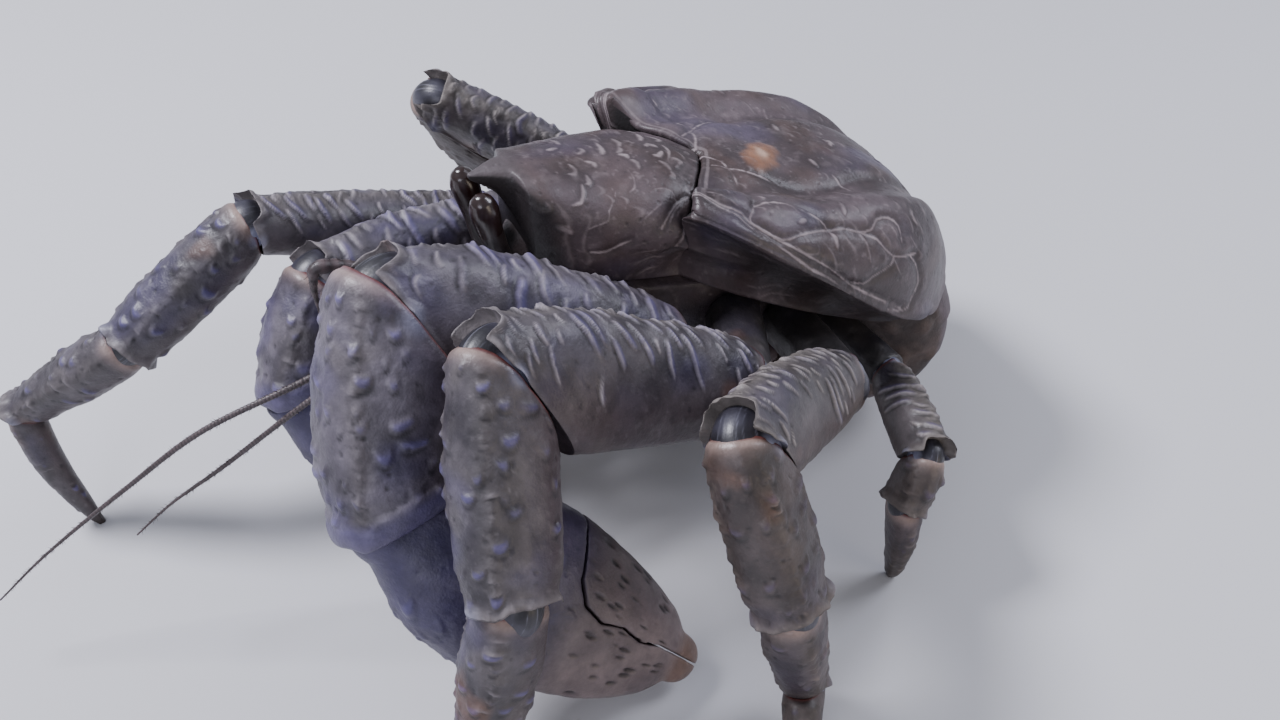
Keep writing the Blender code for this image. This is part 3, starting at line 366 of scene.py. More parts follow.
TIP_COLOUR = (0.030, 0.020, 0.018)
FINGER_DARK, FINGER_LIGHT = (0.105, 0.078, 0.080), (0.185, 0.140, 0.135)
FINGER_PIT, FINGER_TIP = (0.016, 0.011, 0.013), (0.15, 0.095, 0.075)
BLADE_COLOUR = (0.074, 0.062, 0.066)
# The worn spot: orange wear at its edge, and a pale middle that is worn shell with a painted
# highlight on it.
WORN_EDGE, WORN_MIDDLE_AND_HIGHLIGHT = (0.30, 0.140, 0.075), (0.60, 0.42, 0.32)
SKIN_DARK, SKIN_LIGHT = (0.034, 0.025, 0.023), (0.078, 0.056, 0.050)
SKIN_LUMP = (0.115, 0.076, 0.060)
STALK_DARK, STALK_LIGHT = (0.012, 0.008, 0.009), (0.026, 0.016, 0.016)
CORNEA = (0.016, 0.005, 0.004)
MOUTH_DARK, MOUTH_LIGHT = (0.014, 0.010, 0.011), (0.050, 0.036, 0.036)
FEELER_DARK, FEELER_LIGHT = (0.030, 0.020, 0.022), (0.085, 0.060, 0.062)
PALP_DARK, PALP_LIGHT = (0.06, 0.045, 0.04), (0.13, 0.10, 0.09)
BRISTLE = (0.030, 0.020, 0.017)
# The rear legs are darker past the merus.
LOWER_SHADE = np.array((0.80, 0.72, 0.66))
# The limbs' bases are worn copies of their solids, darkened with painted shade.
BASE = dict(voxel=0.0010, smooth=10, palette=REAR, material="limb", relief=0.0003, shade=0.6)

STANCE = np.array(
    (
        sum(corner[0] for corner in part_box("carapace_shield")) / 2,
        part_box("carapace_shield")[0][1] - ROSTRUM_TIP,
        0.0,
    )
)


def smoothstep(low, high, x):
    """Rises smoothly from 0 at low to 1 at high."""
    t = np.clip((x - low) / (high - low), 0.0, 1.0)
    return t * t * (3 - 2 * t)


def mix(a, b, share):
    """Blends colours a and b by an array of shares."""
    share = np.asarray(share)[..., None]
    return np.asarray(a) * (1 - share) + np.asarray(b) * share


def profile(points, x):
    """A smooth curve through pairs of station and value, flat past its ends, for an array x."""
    xs = np.array([p[0] for p in points])
    ys = np.array([p[1] for p in points])
    slopes = np.diff(ys) / np.diff(xs)
    product = slopes[:-1] * slopes[1:]
    total = np.where(product > 0, slopes[:-1] + slopes[1:], 1.0)
    inner = np.where(product > 0, 2 * product / total, 0.0)
    tangents = np.concatenate((slopes[:1], inner, slopes[-1:]))
    x = np.clip(x, xs[0], xs[-1])
    i = np.clip(np.searchsorted(xs, x, side="right") - 1, 0, len(slopes) - 1)
    span = xs[i + 1] - xs[i]
    t = (x - xs[i]) / span
    rise = (2 * t ** 3 - 3 * t ** 2 + 1) * ys[i] + (3 * t ** 2 - 2 * t ** 3) * ys[i + 1]
    lean = (t ** 3 - 2 * t ** 2 + t) * tangents[i] + (t ** 3 - t ** 2) * tangents[i + 1]
    return rise + span * lean


def scatter(cell, seed):
    """A value from 0 to 1 for each cell of a grid."""
    n = (cell[..., 0] * 73856093) ^ (cell[..., 1] * 19349663) ^ (cell[..., 2] * 83492791)
    n = (n ^ (seed * 2654435761)) & 0xFFFFFFFF
    n = ((n ^ (n >> 13)) * 1274126177) & 0xFFFFFFFF
    n = n ^ (n >> 16)
    return (n & 0xFFFFFF) / 0xFFFFFF


def noise(points, size, seed=0, octaves=1):
    """Smooth noise from -1 to 1, with features of the given size."""
    total = np.zeros(points.shape[:-1])
    weight = 1.0
    whole = 0.0
    for k in range(octaves):
        q = points / size * 2 ** k + 31.7 * (k + 1)
        cell = np.floor(q).astype(np.int64)
        f = q - cell
        f = f * f * (3 - 2 * f)
        layer = np.zeros(points.shape[:-1])
        for corner in np.ndindex(2, 2, 2):
            share = np.ones(points.shape[:-1])
            for axis in range(3):
                share = share * (f[..., axis] if corner[axis] else 1 - f[..., axis])
            layer += share * scatter(cell + np.array(corner), seed + 7 * k)
        total += weight * (layer * 2 - 1)
        whole += weight
        weight *= 0.5
    return total / whole


def cells(points, size, seed=0):
    """Distance to the nearest of points scattered one to a cell, in cells, and its own value."""
    q = points / size
    cell = np.floor(q).astype(np.int64)
    best = np.full(points.shape[:-1], 9.0)
    tag = np.zeros(points.shape[:-1])
    for offset in np.ndindex(3, 3, 3):
        c = cell + np.array(offset) - 1
        spot = np.stack([scatter(c, seed + k) for k in (1, 2, 3)], axis=-1)
        distance = np.linalg.norm(c + spot - q, axis=-1)
        nearer = distance < best
        best = np.where(nearer, distance, best)
        tag = np.where(nearer, scatter(c, seed + 4), tag)
    return best, tag


def polyline_distance(points, line, reach):
    """Distance from each point to a line through corners, and the share along it, within reach."""
    best, share = np.full(points.shape[:-1], reach), np.zeros(points.shape[:-1])
    low, high = np.min(line, 0) - reach, np.max(line, 0) + reach
    near = np.all((points > low) & (points < high), axis=-1)
    some = points[near]
    found, along = np.full(len(some), reach), np.zeros(len(some))
    for i, (a, b) in enumerate(zip(line, line[1:])):
        run = b - a
        t = np.clip(((some - a) @ run) / (run @ run), 0, 1)
        distance = np.linalg.norm(some - a - t[:, None] * run, axis=-1)
        closer = distance < found
        found = np.where(closer, distance, found)
        along = np.where(closer, (i + t) / (len(line) - 1), along)
    best[near], share[near] = found, along
    return best, share


def rounded_line(line, step):
    """Points along a smooth curve through a line's corners."""
    points = [np.array(p, float) for p in line]
    ends = [points[0] * 2 - points[1]] + points + [points[-1] * 2 - points[-2]]
    out = []
    for a, b, c, d in zip(ends, ends[1:], ends[2:], ends[3:]):
        count = max(2, int(np.linalg.norm(c - b) / step))
        for k in range(count):
            t = k / count
            even = 2 * b + (2 * a - 5 * b + 4 * c - d) * t ** 2
            odd = (c - a) * t + (3 * b - a - 3 * c + d) * t ** 3
            out.append((even + odd) / 2)
    out.append(points[-1])
    return np.array(out)


def grid_normals(p):
    """Outward normals of a closed grid whose rows run along a limb and columns around it."""
    around = np.roll(p, -1, 1) - np.roll(p, 1, 1)
    along = np.gradient(p, axis=0)
    n = np.cross(along, around)
    return n / (np.linalg.norm(n, axis=2, keepdims=True) + 1e-12)


def make_mesh(name, vertices, quads, triangles, tint, rough):
    """A smooth mesh with a colour and a roughness for each vertex."""
    mesh = bpy.data.meshes.new(name)
    vertices = vertices + STANCE
    mesh.vertices.add(len(vertices))
    mesh.vertices.foreach_set("co", vertices.astype(np.float32).ravel())
    loops = np.concatenate((quads.ravel(), triangles.ravel())).astype(np.int32)
    starts = np.concatenate(
        (np.arange(len(quads)) * 4, len(quads) * 4 + np.arange(len(triangles)) * 3)
    ).astype(np.int32)
    mesh.loops.add(len(loops))
    mesh.loops.foreach_set("vertex_index", loops)
    mesh.polygons.add(len(starts))
    mesh.polygons.foreach_set("loop_start", starts)
    mesh.update(calc_edges=True)
    mesh.validate()
    set_looks(mesh, tint, rough)
    mesh.shade_smooth()
    return mesh


def set_looks(mesh, tint, rough):
    """Stores a colour and a roughness for each vertex."""
    colour = np.ones((len(tint), 4), np.float32)
    colour[:, :3] = np.clip(tint, 0.0, 1.0)
    mesh.color_attributes.new("tint", "FLOAT_COLOR", "POINT")
    mesh.color_attributes["tint"].data.foreach_set("color", colour.ravel())
    mesh.attributes.new("rough", "FLOAT", "POINT")
    mesh.attributes["rough"].data.foreach_set("value", np.clip(rough, 0.05, 1.0).astype(np.float32))


def grid_faces(rows, cols):
    """Quads of a closed grid."""
    index = np.arange(rows * cols).reshape(rows, cols)
    a = index[:-1]
    b = np.roll(index, -1, 1)[:-1]
    c = np.roll(index, -1, 1)[1:]
    d = index[1:]
    return np.stack((a, d, c, b), axis=-1).reshape(-1, 4)


def closed_grid(name, p, tint, rough, first, last):
    """A mesh from a closed grid of points, with a pole at each end."""
    rows, cols = p.shape[:2]
    quads = grid_faces(rows, cols)
    count = rows * cols
    ring = np.arange(cols)
    after = np.roll(ring, -1)
    start = np.stack((ring, after, np.full(cols, count)), axis=-1)
    base = (rows - 1) * cols
    finish = np.stack((base + after, base + ring, np.full(cols, count + 1)), axis=-1)
    vertices = np.concatenate((p.reshape(-1, 3), (first, last)))
    tints = np.concatenate((tint.reshape(-1, 3), (tint[0].mean(0), tint[-1].mean(0))))
    roughs = np.concatenate((rough.ravel(), (rough[0].mean(), rough[-1].mean())))
    return make_mesh(name, vertices, quads, np.concatenate((start, finish)), tints, roughs)


def place(name, mesh, material, nodes=()):
    """Links a piece that rides on the crab's body in place of its CAD nodes."""
    mesh.materials.clear()
    mesh.materials.append(MATERIALS[material])
    piece = bpy.data.objects.new(name, mesh)
    bpy.context.scene.collection.objects.link(piece)
    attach(piece, "root")
    if nodes:
        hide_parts(*nodes)


def fix_winding(mesh):
    """Turns every face outwards."""
    shape = bmesh.new()
    shape.from_mesh(mesh)
    bmesh.ops.recalc_face_normals(shape, faces=shape.faces)
    shape.to_mesh(mesh)
    shape.free()


def add_skin(name, grid, tint, rough, poles, material, slot, nodes=()):
    """Adds a closed grid as a piece, with every face turned outwards."""
    mesh = closed_grid(name, grid, tint, rough, *poles)
    fix_winding(mesh)
    place(name, mesh, material, nodes)


def add_node(tree, kind, inputs):
    """A node of a material, with values on its own sockets."""
    node = tree.nodes.new(kind)
    for key, value in inputs.items():
        node.inputs[key].default_value = value
    return node


def painted(tree, name):
    """A node that reads what is painted on the mesh."""
    node = tree.nodes.new("ShaderNodeAttribute")
    node.attribute_name = name
    return node


def multiply_add(tree, factor):
    """A node that multiplies its first value by a factor and adds its last."""
    node = tree.nodes.new("ShaderNodeMath")
    node.operation = "MULTIPLY_ADD"
    node.inputs[1].default_value = factor
    return node


def shell_material(name, grain, bump, coat, tint_change):
    """Shell with its painted colour, fine mottling, pores and wear, and a thin gloss."""
    material = bpy.data.materials.new(name)
    material.use_nodes = True
    tree = material.node_tree
    links = tree.links
    shader = tree.nodes["Principled BSDF"]
    spot = tree.nodes.new("ShaderNodeTexCoord")
    tint, rough = painted(tree, "tint"), painted(tree, "rough")
    mottle = add_node(
        tree, "ShaderNodeTexNoise", {"Scale": grain, "Detail": 6.0, "Roughness": 0.65}
    )
    fine = add_node(tree, "ShaderNodeTexNoise", {"Scale": grain * 6, "Detail": 4.0})
    pores = add_node(tree, "ShaderNodeTexVoronoi", {"Scale": grain * 3.2})
    for node in (mottle, fine, pores):
        links.new(spot.outputs["Object"], node.inputs["Vector"])
    ends = {
        "From Min": 0.30, "From Max": 0.70,
        "To Min": 1.0 - tint_change, "To Max": 1.0 + tint_change,
    }
    shade = add_node(tree, "ShaderNodeMapRange", ends)
    links.new(mottle.outputs["Fac"], shade.inputs["Value"])
    colour = tree.nodes.new("ShaderNodeVectorMath")
    colour.operation = "SCALE"
    links.new(tint.outputs["Color"], colour.inputs[0])
    links.new(shade.outputs["Result"], colour.inputs["Scale"])
    links.new(colour.outputs["Vector"], shader.inputs["Base Color"])
    wear = multiply_add(tree, 0.22)
    links.new(fine.outputs["Fac"], wear.inputs[0])
    links.new(rough.outputs["Fac"], wear.inputs[2])
    links.new(wear.outputs["Value"], shader.inputs["Roughness"])
    rise = multiply_add(tree, 0.5)
    links.new(pores.outputs["Distance"], rise.inputs[0])
    links.new(fine.outputs["Fac"], rise.inputs[2])
    relief = add_node(tree, "ShaderNodeBump", {"Strength": bump, "Distance": 0.0004})
    links.new(rise.outputs["Value"], relief.inputs["Height"])
    links.new(relief.outputs["Normal"], shader.inputs["Normal"])
    shader.inputs["Specular IOR Level"].default_value = 0.5
    shader.inputs["Coat Weight"].default_value = coat
    shader.inputs["Coat Roughness"].default_value = 0.3
    return material


MATERIALS = {
    "shell": shell_material("carapace_shell", 260.0, 0.30, 0.15, 0.22),
    "limb": shell_material("limb_shell", 240.0, 0.35, 0.12, 0.25),
    "membrane": shell_material("joint_membrane", 300.0, 0.15, 0.3, 0.20),
    "eye": shell_material("eye", 500.0, 0.05, 0.8, 0.10),
    "feeler": shell_material("feeler", 900.0, 0.30, 0.2, 0.20),
    "soft": shell_material("soft_body", 300.0, 0.45, 0.05, 0.30),
}


def heading_vector(heading, pitch):
    """A unit vector from a heading and a pitch in degrees."""
    turn, rise = math.radians(heading), math.radians(pitch)
    flat = math.cos(rise)
    return np.array((math.sin(turn) * flat, -math.cos(turn) * flat, math.sin(rise)))


def limb_joints(limb):
    """The joints of a limb from its base on. A run with no pitch ends just under the floor."""
    points = [np.array(limb["base"])]
    for length, heading, pitch in limb["runs"]:
        if pitch is None:
            pitch = math.degrees(math.asin(max(-1.0, (-FOOT_SINK - points[-1][2]) / length)))
        points.append(points[-1] + heading_vector(heading, pitch) * length)
    return points


def unit(v):
    """The vector at length 1."""
    return v / np.linalg.norm(v)


def limb_frames(points):
    """Direction and outer side of each run: the outer side of the first bend is carried along."""
    runs = [unit(b - a) for a, b in zip(points, points[1:])]
    up = -unit(runs[1] - runs[0] * (runs[1] @ runs[0]))
    frames = [(runs[0], up)]
    for before, after in zip(runs, runs[1:]):
        turned = Vector(before).rotation_difference(Vector(after)) @ Vector(up)
        up = np.array(turned)
        up = unit(up - after * (up @ after))
        frames.append((after, up))
    return frames


def signed_power(value, exponent):
    """A power that keeps the sign."""
    return np.sign(value) * np.abs(value) ** exponent


class Segment:
    """One segment of a limb: its line, its sections, and where its ends meet their joints."""

    def __init__(self, kind, start, end, up, size, bend=0.0):
        self.kind, self.form, self.bend = kind, SHAPES[kind], bend
        self.start, self.end, self.up = start, end, up
        self.along = unit(end - start)
        self.side = unit(np.cross(self.along, up))
        self.length = np.linalg.norm(end - start)
        self.height, self.depth, self.half = size
        self.near = self.form["top"][0][1] * self.height
        self.far = self.form["top"][-1][1] * self.height

    def at(self, a, theta):
        """The point at a distance a along the line and an angle round it."""
        t = np.clip(a / self.length, 0, 1)
        over = np.where(a > self.length, (a - self.length) / self.far, 0.0)
        over = np.where(a < 0, a / self.near, over)
        share = np.sqrt(np.clip(1 - over ** 2, 0.0004, 1))
        top = profile(self.form["top"], t) * self.height * share
        bottom = profile(self.form.get("bottom", self.form["top"]), t) * self.depth * share
        half = profile(self.form["half"], t) * self.half * share
        sine, cosine = np.sin(theta), np.cos(theta)
        rise = signed_power(sine, SECTION_POWER) * np.where(sine > 0, top, bottom)
        rise = rise + self.bend * self.length * 4 * t * (1 - t)
        across = signed_power(cosine, SECTION_POWER) * half
        line = self.start + self.along * np.asarray(a)[..., None]
        return line + self.side * across[..., None] + self.up * rise[..., None]

    def meet(self, theta, point, normal, at_start):
        """Where each column meets a joint's plane, as distances along the line."""
        low, high = -0.98 * self.near, self.length + 0.98 * self.far
        a = np.full(theta.shape, 0.0 if at_start else self.length)
        for _ in range(40):
            step = ((self.at(a, theta) - point) @ normal) / (self.along @ normal)
            a = np.clip(a - 0.6 * step, low, high)
        return a


def outer_side(segment, theta, bend):
    """How far each column lies on the outer side of a bend, from -1 to 1."""
    flat = bend - segment.along * (bend @ segment.along)
    if np.linalg.norm(flat) < 1e-6:
        return np.zeros(theta.shape)
    flat = unit(flat)
    return np.cos(theta) * (segment.side @ flat) + np.sin(theta) * (segment.up @ flat)


def joint_gap(outer, bend_share, radius, far):
    """How far a rim stands back from its joint's plane, with an arch on the bend's outer side."""
    if far:
        arch = smoothstep(0.58, 0.90, outer) * radius * 0.46 * bend_share
    else:
        arch = smoothstep(0.20, 0.90, outer) * radius * 0.08 * bend_share
    return 0.0002 + arch


def scales(u, v, seed, style, chance):
    """Scales in staggered rows, edges towards +u: their height, pale edge and shadow, 0 to 1.

    Chance gives the share of scales that are there, from a cell's own v.
    """
    height, edge, under = np.zeros(u.shape), np.zeros(u.shape), np.zeros(u.shape)
    row = np.floor(u)
    for ahead in (-1, 0, 1):
        i = row + ahead
        stagger = 0.5 * (i % 2)
        column = np.floor(v - stagger)
        for beside in (-1, 0, 1):
            j = column + beside
            cell = np.stack((i, j, np.zeros(i.shape)), axis=-1).astype(np.int64)
            middle_u = i + 0.30 + 0.45 * scatter(cell, seed)
            middle_v = j + stagger + 0.27 + 0.46 * scatter(cell, seed + 1)
            size = 0.40 + 0.60 * scatter(cell, seed + 2)
            there = scatter(cell, seed + 3) < chance(middle_v)
            y = (v - middle_v) / (style["spread"] * size)
            x = u - middle_u - 0.20 * (1 - y * y) + 0.16 * (scatter(cell, seed + 5) - 0.5) * y
            side = np.sqrt(np.clip(1 - y * y, 0, 1)) * there
            ramp = smoothstep(style["tail"], -0.04, x) ** 1.2 * smoothstep(style["front"], 0.0, x)
            height = np.maximum(height, side * ramp * size)
            edge = np.maximum(edge, side * np.exp(-(((x + 0.03) / 0.085) ** 2)))
            shadow = style["front"] + 0.06
            under = np.maximum(under, side * np.exp(-(((x - shadow) / 0.11) ** 2)))
    return height, edge, under * (1 - edge)


def crest_angle(theta):
    """Angle from the top line of a segment, from -pi to pi."""
    return (theta - math.pi / 2 + math.pi) % (2 * math.pi) - math.pi


def shell_relief(style, a, phi, radius, points, seed, inner):
    """Height over the plain segment, and shares of pale shell, painted shade, crusty shell and
    raised shell.
    """
    arc = phi * radius
    wander = noise(points, 0.013, seed, 2)
    u = (a + style["slant"] * np.abs(arc) + 0.0026 * wander) / style["pitch"]
    v = arc / style["width"] + 0.45 * noise(points, 0.014, seed + 1)
    turn = style["width"] / radius

    def chance(cell_v):
        away = smoothstep(0.45 * style["reach"], style["reach"], np.abs(cell_v) * turn)
        return style["share"] * (1 - away)

    rise, edge, under = scales(u, v, seed + 2, style, chance)
    patchy = np.clip(0.85 + 0.60 * noise(points, 0.005, seed + 3), 0.2, 1)
    strength = min(1.0, style["scale"] / 0.0008)
    height = style["scale"] * rise * inner
    pale = style["edge"] * edge * patchy * inner * strength
    # Painted shadow under each scale's raised edge.
    painted_shade = 0.85 * under * inner * strength
    crust = smoothstep(0.05, 0.70, noise(points, 0.012, seed + 50, 2) - 0.1) * 0.6
    for k, row in enumerate(style["rows"]):
        off = (arc - row * radius) / 0.0019 + 0.8 * noise(points, 0.009, seed + 67)
        w = a / 0.0043 + 1.1 * noise(points, 0.011, seed + 60 + k)
        f = w - np.floor(w)
        own = np.stack((np.floor(w), np.full(w.shape, k), np.zeros(w.shape)), axis=-1)
        own = own.astype(np.int64)
        tooth = f ** 1.3 * (1 - smoothstep(0.80, 1.0, f)) * scatter(own, seed + 64)
        band = np.exp(-(off ** 2))
        rough_band = np.exp(-((off / 2.1) ** 2))
        height = height + style["crest"] * inner * band * (0.25 + 1.2 * tooth)
        ridge = 0.50 * style["crest"] * inner * rough_band
        height = height + ridge * noise(points, 0.0032, seed + 66, 2)
        pale = pale + 0.6 * band * smoothstep(0.35, 0.8, tooth) * inner
        # Painted shade in the gaps between the crest's teeth.
        painted_shade = painted_shade + 0.6 * band * smoothstep(0.86, 1.0, f) * inner
        crust = np.maximum(crust, rough_band * (1.0 if style["slant"] > 0.3 else 0.5))
    distance, tag = cells(points, 0.0030, seed + 20)
    grain = smoothstep(0.50, 0.10, distance) * (tag > 0.3)
    height = height + style["granule"] * grain * inner
    pit_distance, pit_tag = cells(points, 0.0036, seed + 30)
    pit = smoothstep(0.30, 0.10, pit_distance) * (pit_tag > 0.72)
    height = height - style["pit"] * pit * inner
    # Painted shade in the pits.
    painted_shade = painted_shade + 0.7 * pit * inner
    rugged = noise(points, 0.0046, seed + 41, 2)
    swell = 0.00055 * noise(points, 0.013, seed + 40, 2)
    height = height + (swell + style["rugged"] * rugged) * inner
    # Painted shade in the low parts of the rugged relief.
    painted_shade = painted_shade + 0.30 * smoothstep(-0.15, -0.55, rugged) * inner
    return height, pale, painted_shade, crust, rise * inner


def shell_colour(palette, points, seed, pale, painted_shade, crust, low, tops):
    """Paints a shell: mottled ground, browner low down, crust, a lighter violet painted sheen on
    the bumps' tops, painted shade, and pale edges.
    """
    mottle = smoothstep(-0.45, 0.45, noise(points, 0.010, seed + 60, 3))
    ground = mix(palette["dark"], palette["light"], mottle)
    violet = smoothstep(-0.05, 0.45, noise(points, 0.015, seed + 61, 2))
    ground = mix(ground, palette["violet"], 0.34 * violet * (1 - 0.7 * low))
    ground = mix(ground, palette["under"], 0.65 * low)
    ground = mix(ground, palette["crust"], 0.70 * np.clip(crust, 0, 1))
    # Painted sheen: the raised tops of the scales turn a lighter violet.
    ground = mix(ground, np.array(palette["violet"]) * 1.6, 0.60 * smoothstep(0.35, 0.9, tops))
    warm = smoothstep(0.45, 0.75, noise(points, 0.018, seed + 70, 2))
    ground = mix(ground, palette["warm"], 0.25 * warm)
    speck = smoothstep(0.35, 0.70, noise(points, 0.0017, seed + 80, 2))
    ground = mix(ground, palette["pale"], 0.28 * speck * (0.25 + 0.75 * np.clip(crust, 0, 1)))
    # Painted shade under scales, in pits and in hollows darkens the ground.
    ground = mix(ground, palette["painted_shade"], np.clip(painted_shade, 0, 1) * 0.88)
    return mix(ground, palette["pale"], np.clip(pale, 0, 1) * 0.80)


def limb_size(limb, i):
    """Height above its line, depth below it and half width of a limb's segment."""
    return limb["heights"][i], limb.get("depths", limb["heights"])[i], limb["halves"][i]


def add_condyles(segment, bends, points, height, tint, rough):
    """Raises smooth knobs at both ends of a joint's hinge, where the limb bends sharply, with a
    bluish-white painted highlight on them.
    """
    for (bend, sharp), share, end in zip(bends, (0.45, 1.0), (segment.start, segment.end)):
        hinge = np.cross(segment.along, bend)
        if sharp < 0.45 or np.linalg.norm(hinge) < 1e-6:
            continue
        hinge = unit(hinge)
        reach = 0.42 * segment.half
        for way in (-1, 1):
            centre = end + hinge * way * segment.half * 0.92
            knob = smoothstep(reach, 0.15 * reach, np.linalg.norm(points - centre, axis=-1))
            height = height + 0.0016 * share * knob
            # Painted highlight on the knob.
            tint = mix(tint, CONDYLE_HIGHLIGHT, 0.55 * knob)
            rough = rough - 0.16 * knob
    return height, tint, rough


def limb_piece(name, segment, planes, bends, palette, seed, style, broad):
    """A limb's segment as a fine grid, with a smooth near end and a rough hood at its far end.

    A segment with a single joint is the limb's tip. A broad one swells before its far end.
    """
    tip = len(planes) == 1
    girth = 2 * math.pi * math.sqrt((segment.height ** 2 + segment.half ** 2) / 2)
    cols = max(40, int(girth / SPACING) // 2 * 2)
    rows = max(24, int(segment.length / SPACING))
    theta = np.arange(cols) * 2 * math.pi / cols
    outer0 = outer_side(segment, theta, bends[0][0])
    gap = joint_gap(outer0, bends[0][1], segment.near, False)
    first = segment.meet(theta, *planes[0], True) + gap
    if tip:
        last, outer1 = np.full(cols, segment.length), np.zeros(cols)
    else:
        outer1 = outer_side(segment, theta, bends[1][0])
        gap = joint_gap(outer1, bends[1][1], segment.far, True)
        last = segment.meet(theta, *planes[1], False) - gap
    a = first + (last - first) * np.linspace(0, 1, rows)[:, None]
    angles = np.broadcast_to(theta, a.shape)
    radius = (segment.height + segment.half) / 2
    phi = crest_angle(angles)
    from_start = a - first
    from_end = np.full(a.shape, 1.0) if tip else last - a
    points = segment.at(a, angles)
    normals = grid_normals(points)
    open0 = smoothstep(0.0, 0.7, outer0)
    near_rim = smoothstep(0.0012, 0.0050, from_start - 0.0025 * open0)
    far_rim = smoothstep(0.0006, 0.0030, from_end - (0.0050 if broad else 0.0))
    inner = near_rim * far_rim
    height, pale, painted_shade, crust, tops = shell_relief(style, a, phi, radius, points, seed, inner)
    lumps = 0.5 + 0.5 * noise(points, 0.0024, seed + 5, 2)
    if broad:
        hood = smoothstep(0.0095, 0.0055, from_end) * (from_end < 1)
        height = height + 0.0017 * np.sqrt(np.clip(1 - ((from_end - 0.0042) / 0.0052) ** 2, 0, 1))
        crust = crust * (1 - hood)
    else:
        hood = np.exp(-((from_end / 0.0026) ** 2)) * smoothstep(-0.6, 0.5, outer1)
        height = height + hood * (0.0009 + 0.0019 * lumps)
        crust = np.maximum(crust, hood)
    collar = np.exp(-((from_start / 0.0036) ** 2)) * open0
    height = height - (0.0005 + 0.0011 * open0) * np.exp(-((from_start / 0.0018) ** 2))
    low = smoothstep(1.2, 2.1, np.abs(phi))
    tint = shell_colour(palette, points, seed, pale, painted_shade, crust * near_rim, low, tops)
    rough = 0.36 + 0.26 * crust - 0.12 * collar
    height, tint, rough = add_condyles(segment, bends, points, height, tint, rough)
    points = points + normals * height[..., None]
    if palette is REAR and segment.kind != "merus":
        tint = tint * LOWER_SHADE
    tint = mix(tint, palette["pale"], (0.15 if broad else 0.36) * hood * lumps)
    tint = mix(tint, palette["violet"], (0.6 if broad else 0.0) * hood)
    glow = collar * (0.75 + 0.25 * noise(points, 0.005, seed + 6))
    tint = mix(tint, COLLAR, 0.78 * glow * smoothstep(0.0004, 0.0012, from_start))
    tint = mix(tint, RED_SKIN, 0.85 * np.exp(-((from_start / 0.0008) ** 2)))
    if tip:
        dark_tip = smoothstep(0.80, 0.97, a / segment.length)
        tint = mix(tint, TIP_COLOUR, dark_tip)
        rough = rough - 0.15 * dark_tip
    joints = [plane[0] for plane in planes]
    grid, tint, rough, poles = close_ends(segment, points, tint, rough, joints)
    grid[..., 2] = np.maximum(grid[..., 2], 0.0)
    poles = [np.array((pole[0], pole[1], max(pole[2], 0.0))) for pole in poles]
    return closed_grid(name, grid, tint, rough, *poles)


def close_ends(segment, points, tint, rough, joints):
    """Turns the grid's rims in as thick lips and closes them, a little behind their openings."""

    def lip(rim, centre, inward):
        rings = [centre + (rim - centre) * share + inward * back for share, back in LIP_RINGS]
        return np.array(rings)

    before = lip(points[0], joints[0], segment.along)[::-1]
    poles = [joints[0] + segment.along * LIP_DEPTH]
    if len(joints) == 1:
        after = points[:0]
        poles.append(segment.start + segment.along * (segment.length + TIP_ROUNDING))
    else:
        after = lip(points[-1], joints[1], -segment.along)
        poles.append(joints[1] - segment.along * LIP_DEPTH)
    stacks = [np.concatenate((before, points, after))]
    for looks in (tint, rough):
        first, last = np.repeat(looks[:1], len(before), 0), np.repeat(looks[-1:], len(after), 0)
        stacks.append(np.concatenate((first, looks, last)))
    return *stacks, poles


def add_ball(name, point, before, after, radii, seed):
    """The smooth dark membrane and articular face inside a joint, streaked along the bend, with a
    painted highlight on the knobs at its hinge's ends.
    """
    bend = unit(before - after)
    hinge = np.cross(before, after)
    hinge = unit(hinge) if np.linalg.norm(hinge) > 1e-6 else unit(np.cross(before, UP))
    third = np.cross(hinge, bend)
    lateral, outer = radii
    rows, cols = BALL_GRID
    polar = np.linspace(0.06, math.pi - 0.06, rows)[:, None]
    theta = (np.arange(cols) * 2 * math.pi / cols)[None, :]
    x = np.cos(polar) * np.ones(theta.shape)
    y = np.sin(polar) * np.cos(theta)
    z = np.sin(polar) * np.sin(theta)
    fan = x * (1.15 - 0.35 * z)
    flat = np.stack((fan * 11.0, np.zeros(x.shape), np.zeros(x.shape)), axis=-1)
    streak = noise(flat + 0.05 * np.stack((x, y, z), axis=-1), 0.55, seed, 3)
    reach = outer * (1 + 0.009 * streak)
    knob = smoothstep(0.80, 0.97, np.abs(x))
    p = point + hinge * (x * lateral * (1 + 0.10 * knob))[..., None] + bend * (y * reach)[..., None]
    p = p + third * (z * reach)[..., None]
    tint = mix(MEMBRANE["dark"], MEMBRANE["light"], smoothstep(-0.3, 0.5, noise(p, 0.006, seed, 2)))
    pale = 0.38 * smoothstep(0.28, 0.55, streak) * smoothstep(0.2, 0.8, y)
    tint = mix(tint, MEMBRANE["pale"], pale)
    # Painted highlight on the knobs at the hinge's ends.
    tint = mix(tint, CONDYLE_HIGHLIGHT, 0.6 * knob)
    rough = 0.30 + 0.12 * smoothstep(-0.5, 0.5, streak)
    mesh = closed_grid(name, p, tint, rough, point + hinge * lateral, point - hinge * lateral)
    place(name, mesh, "membrane")


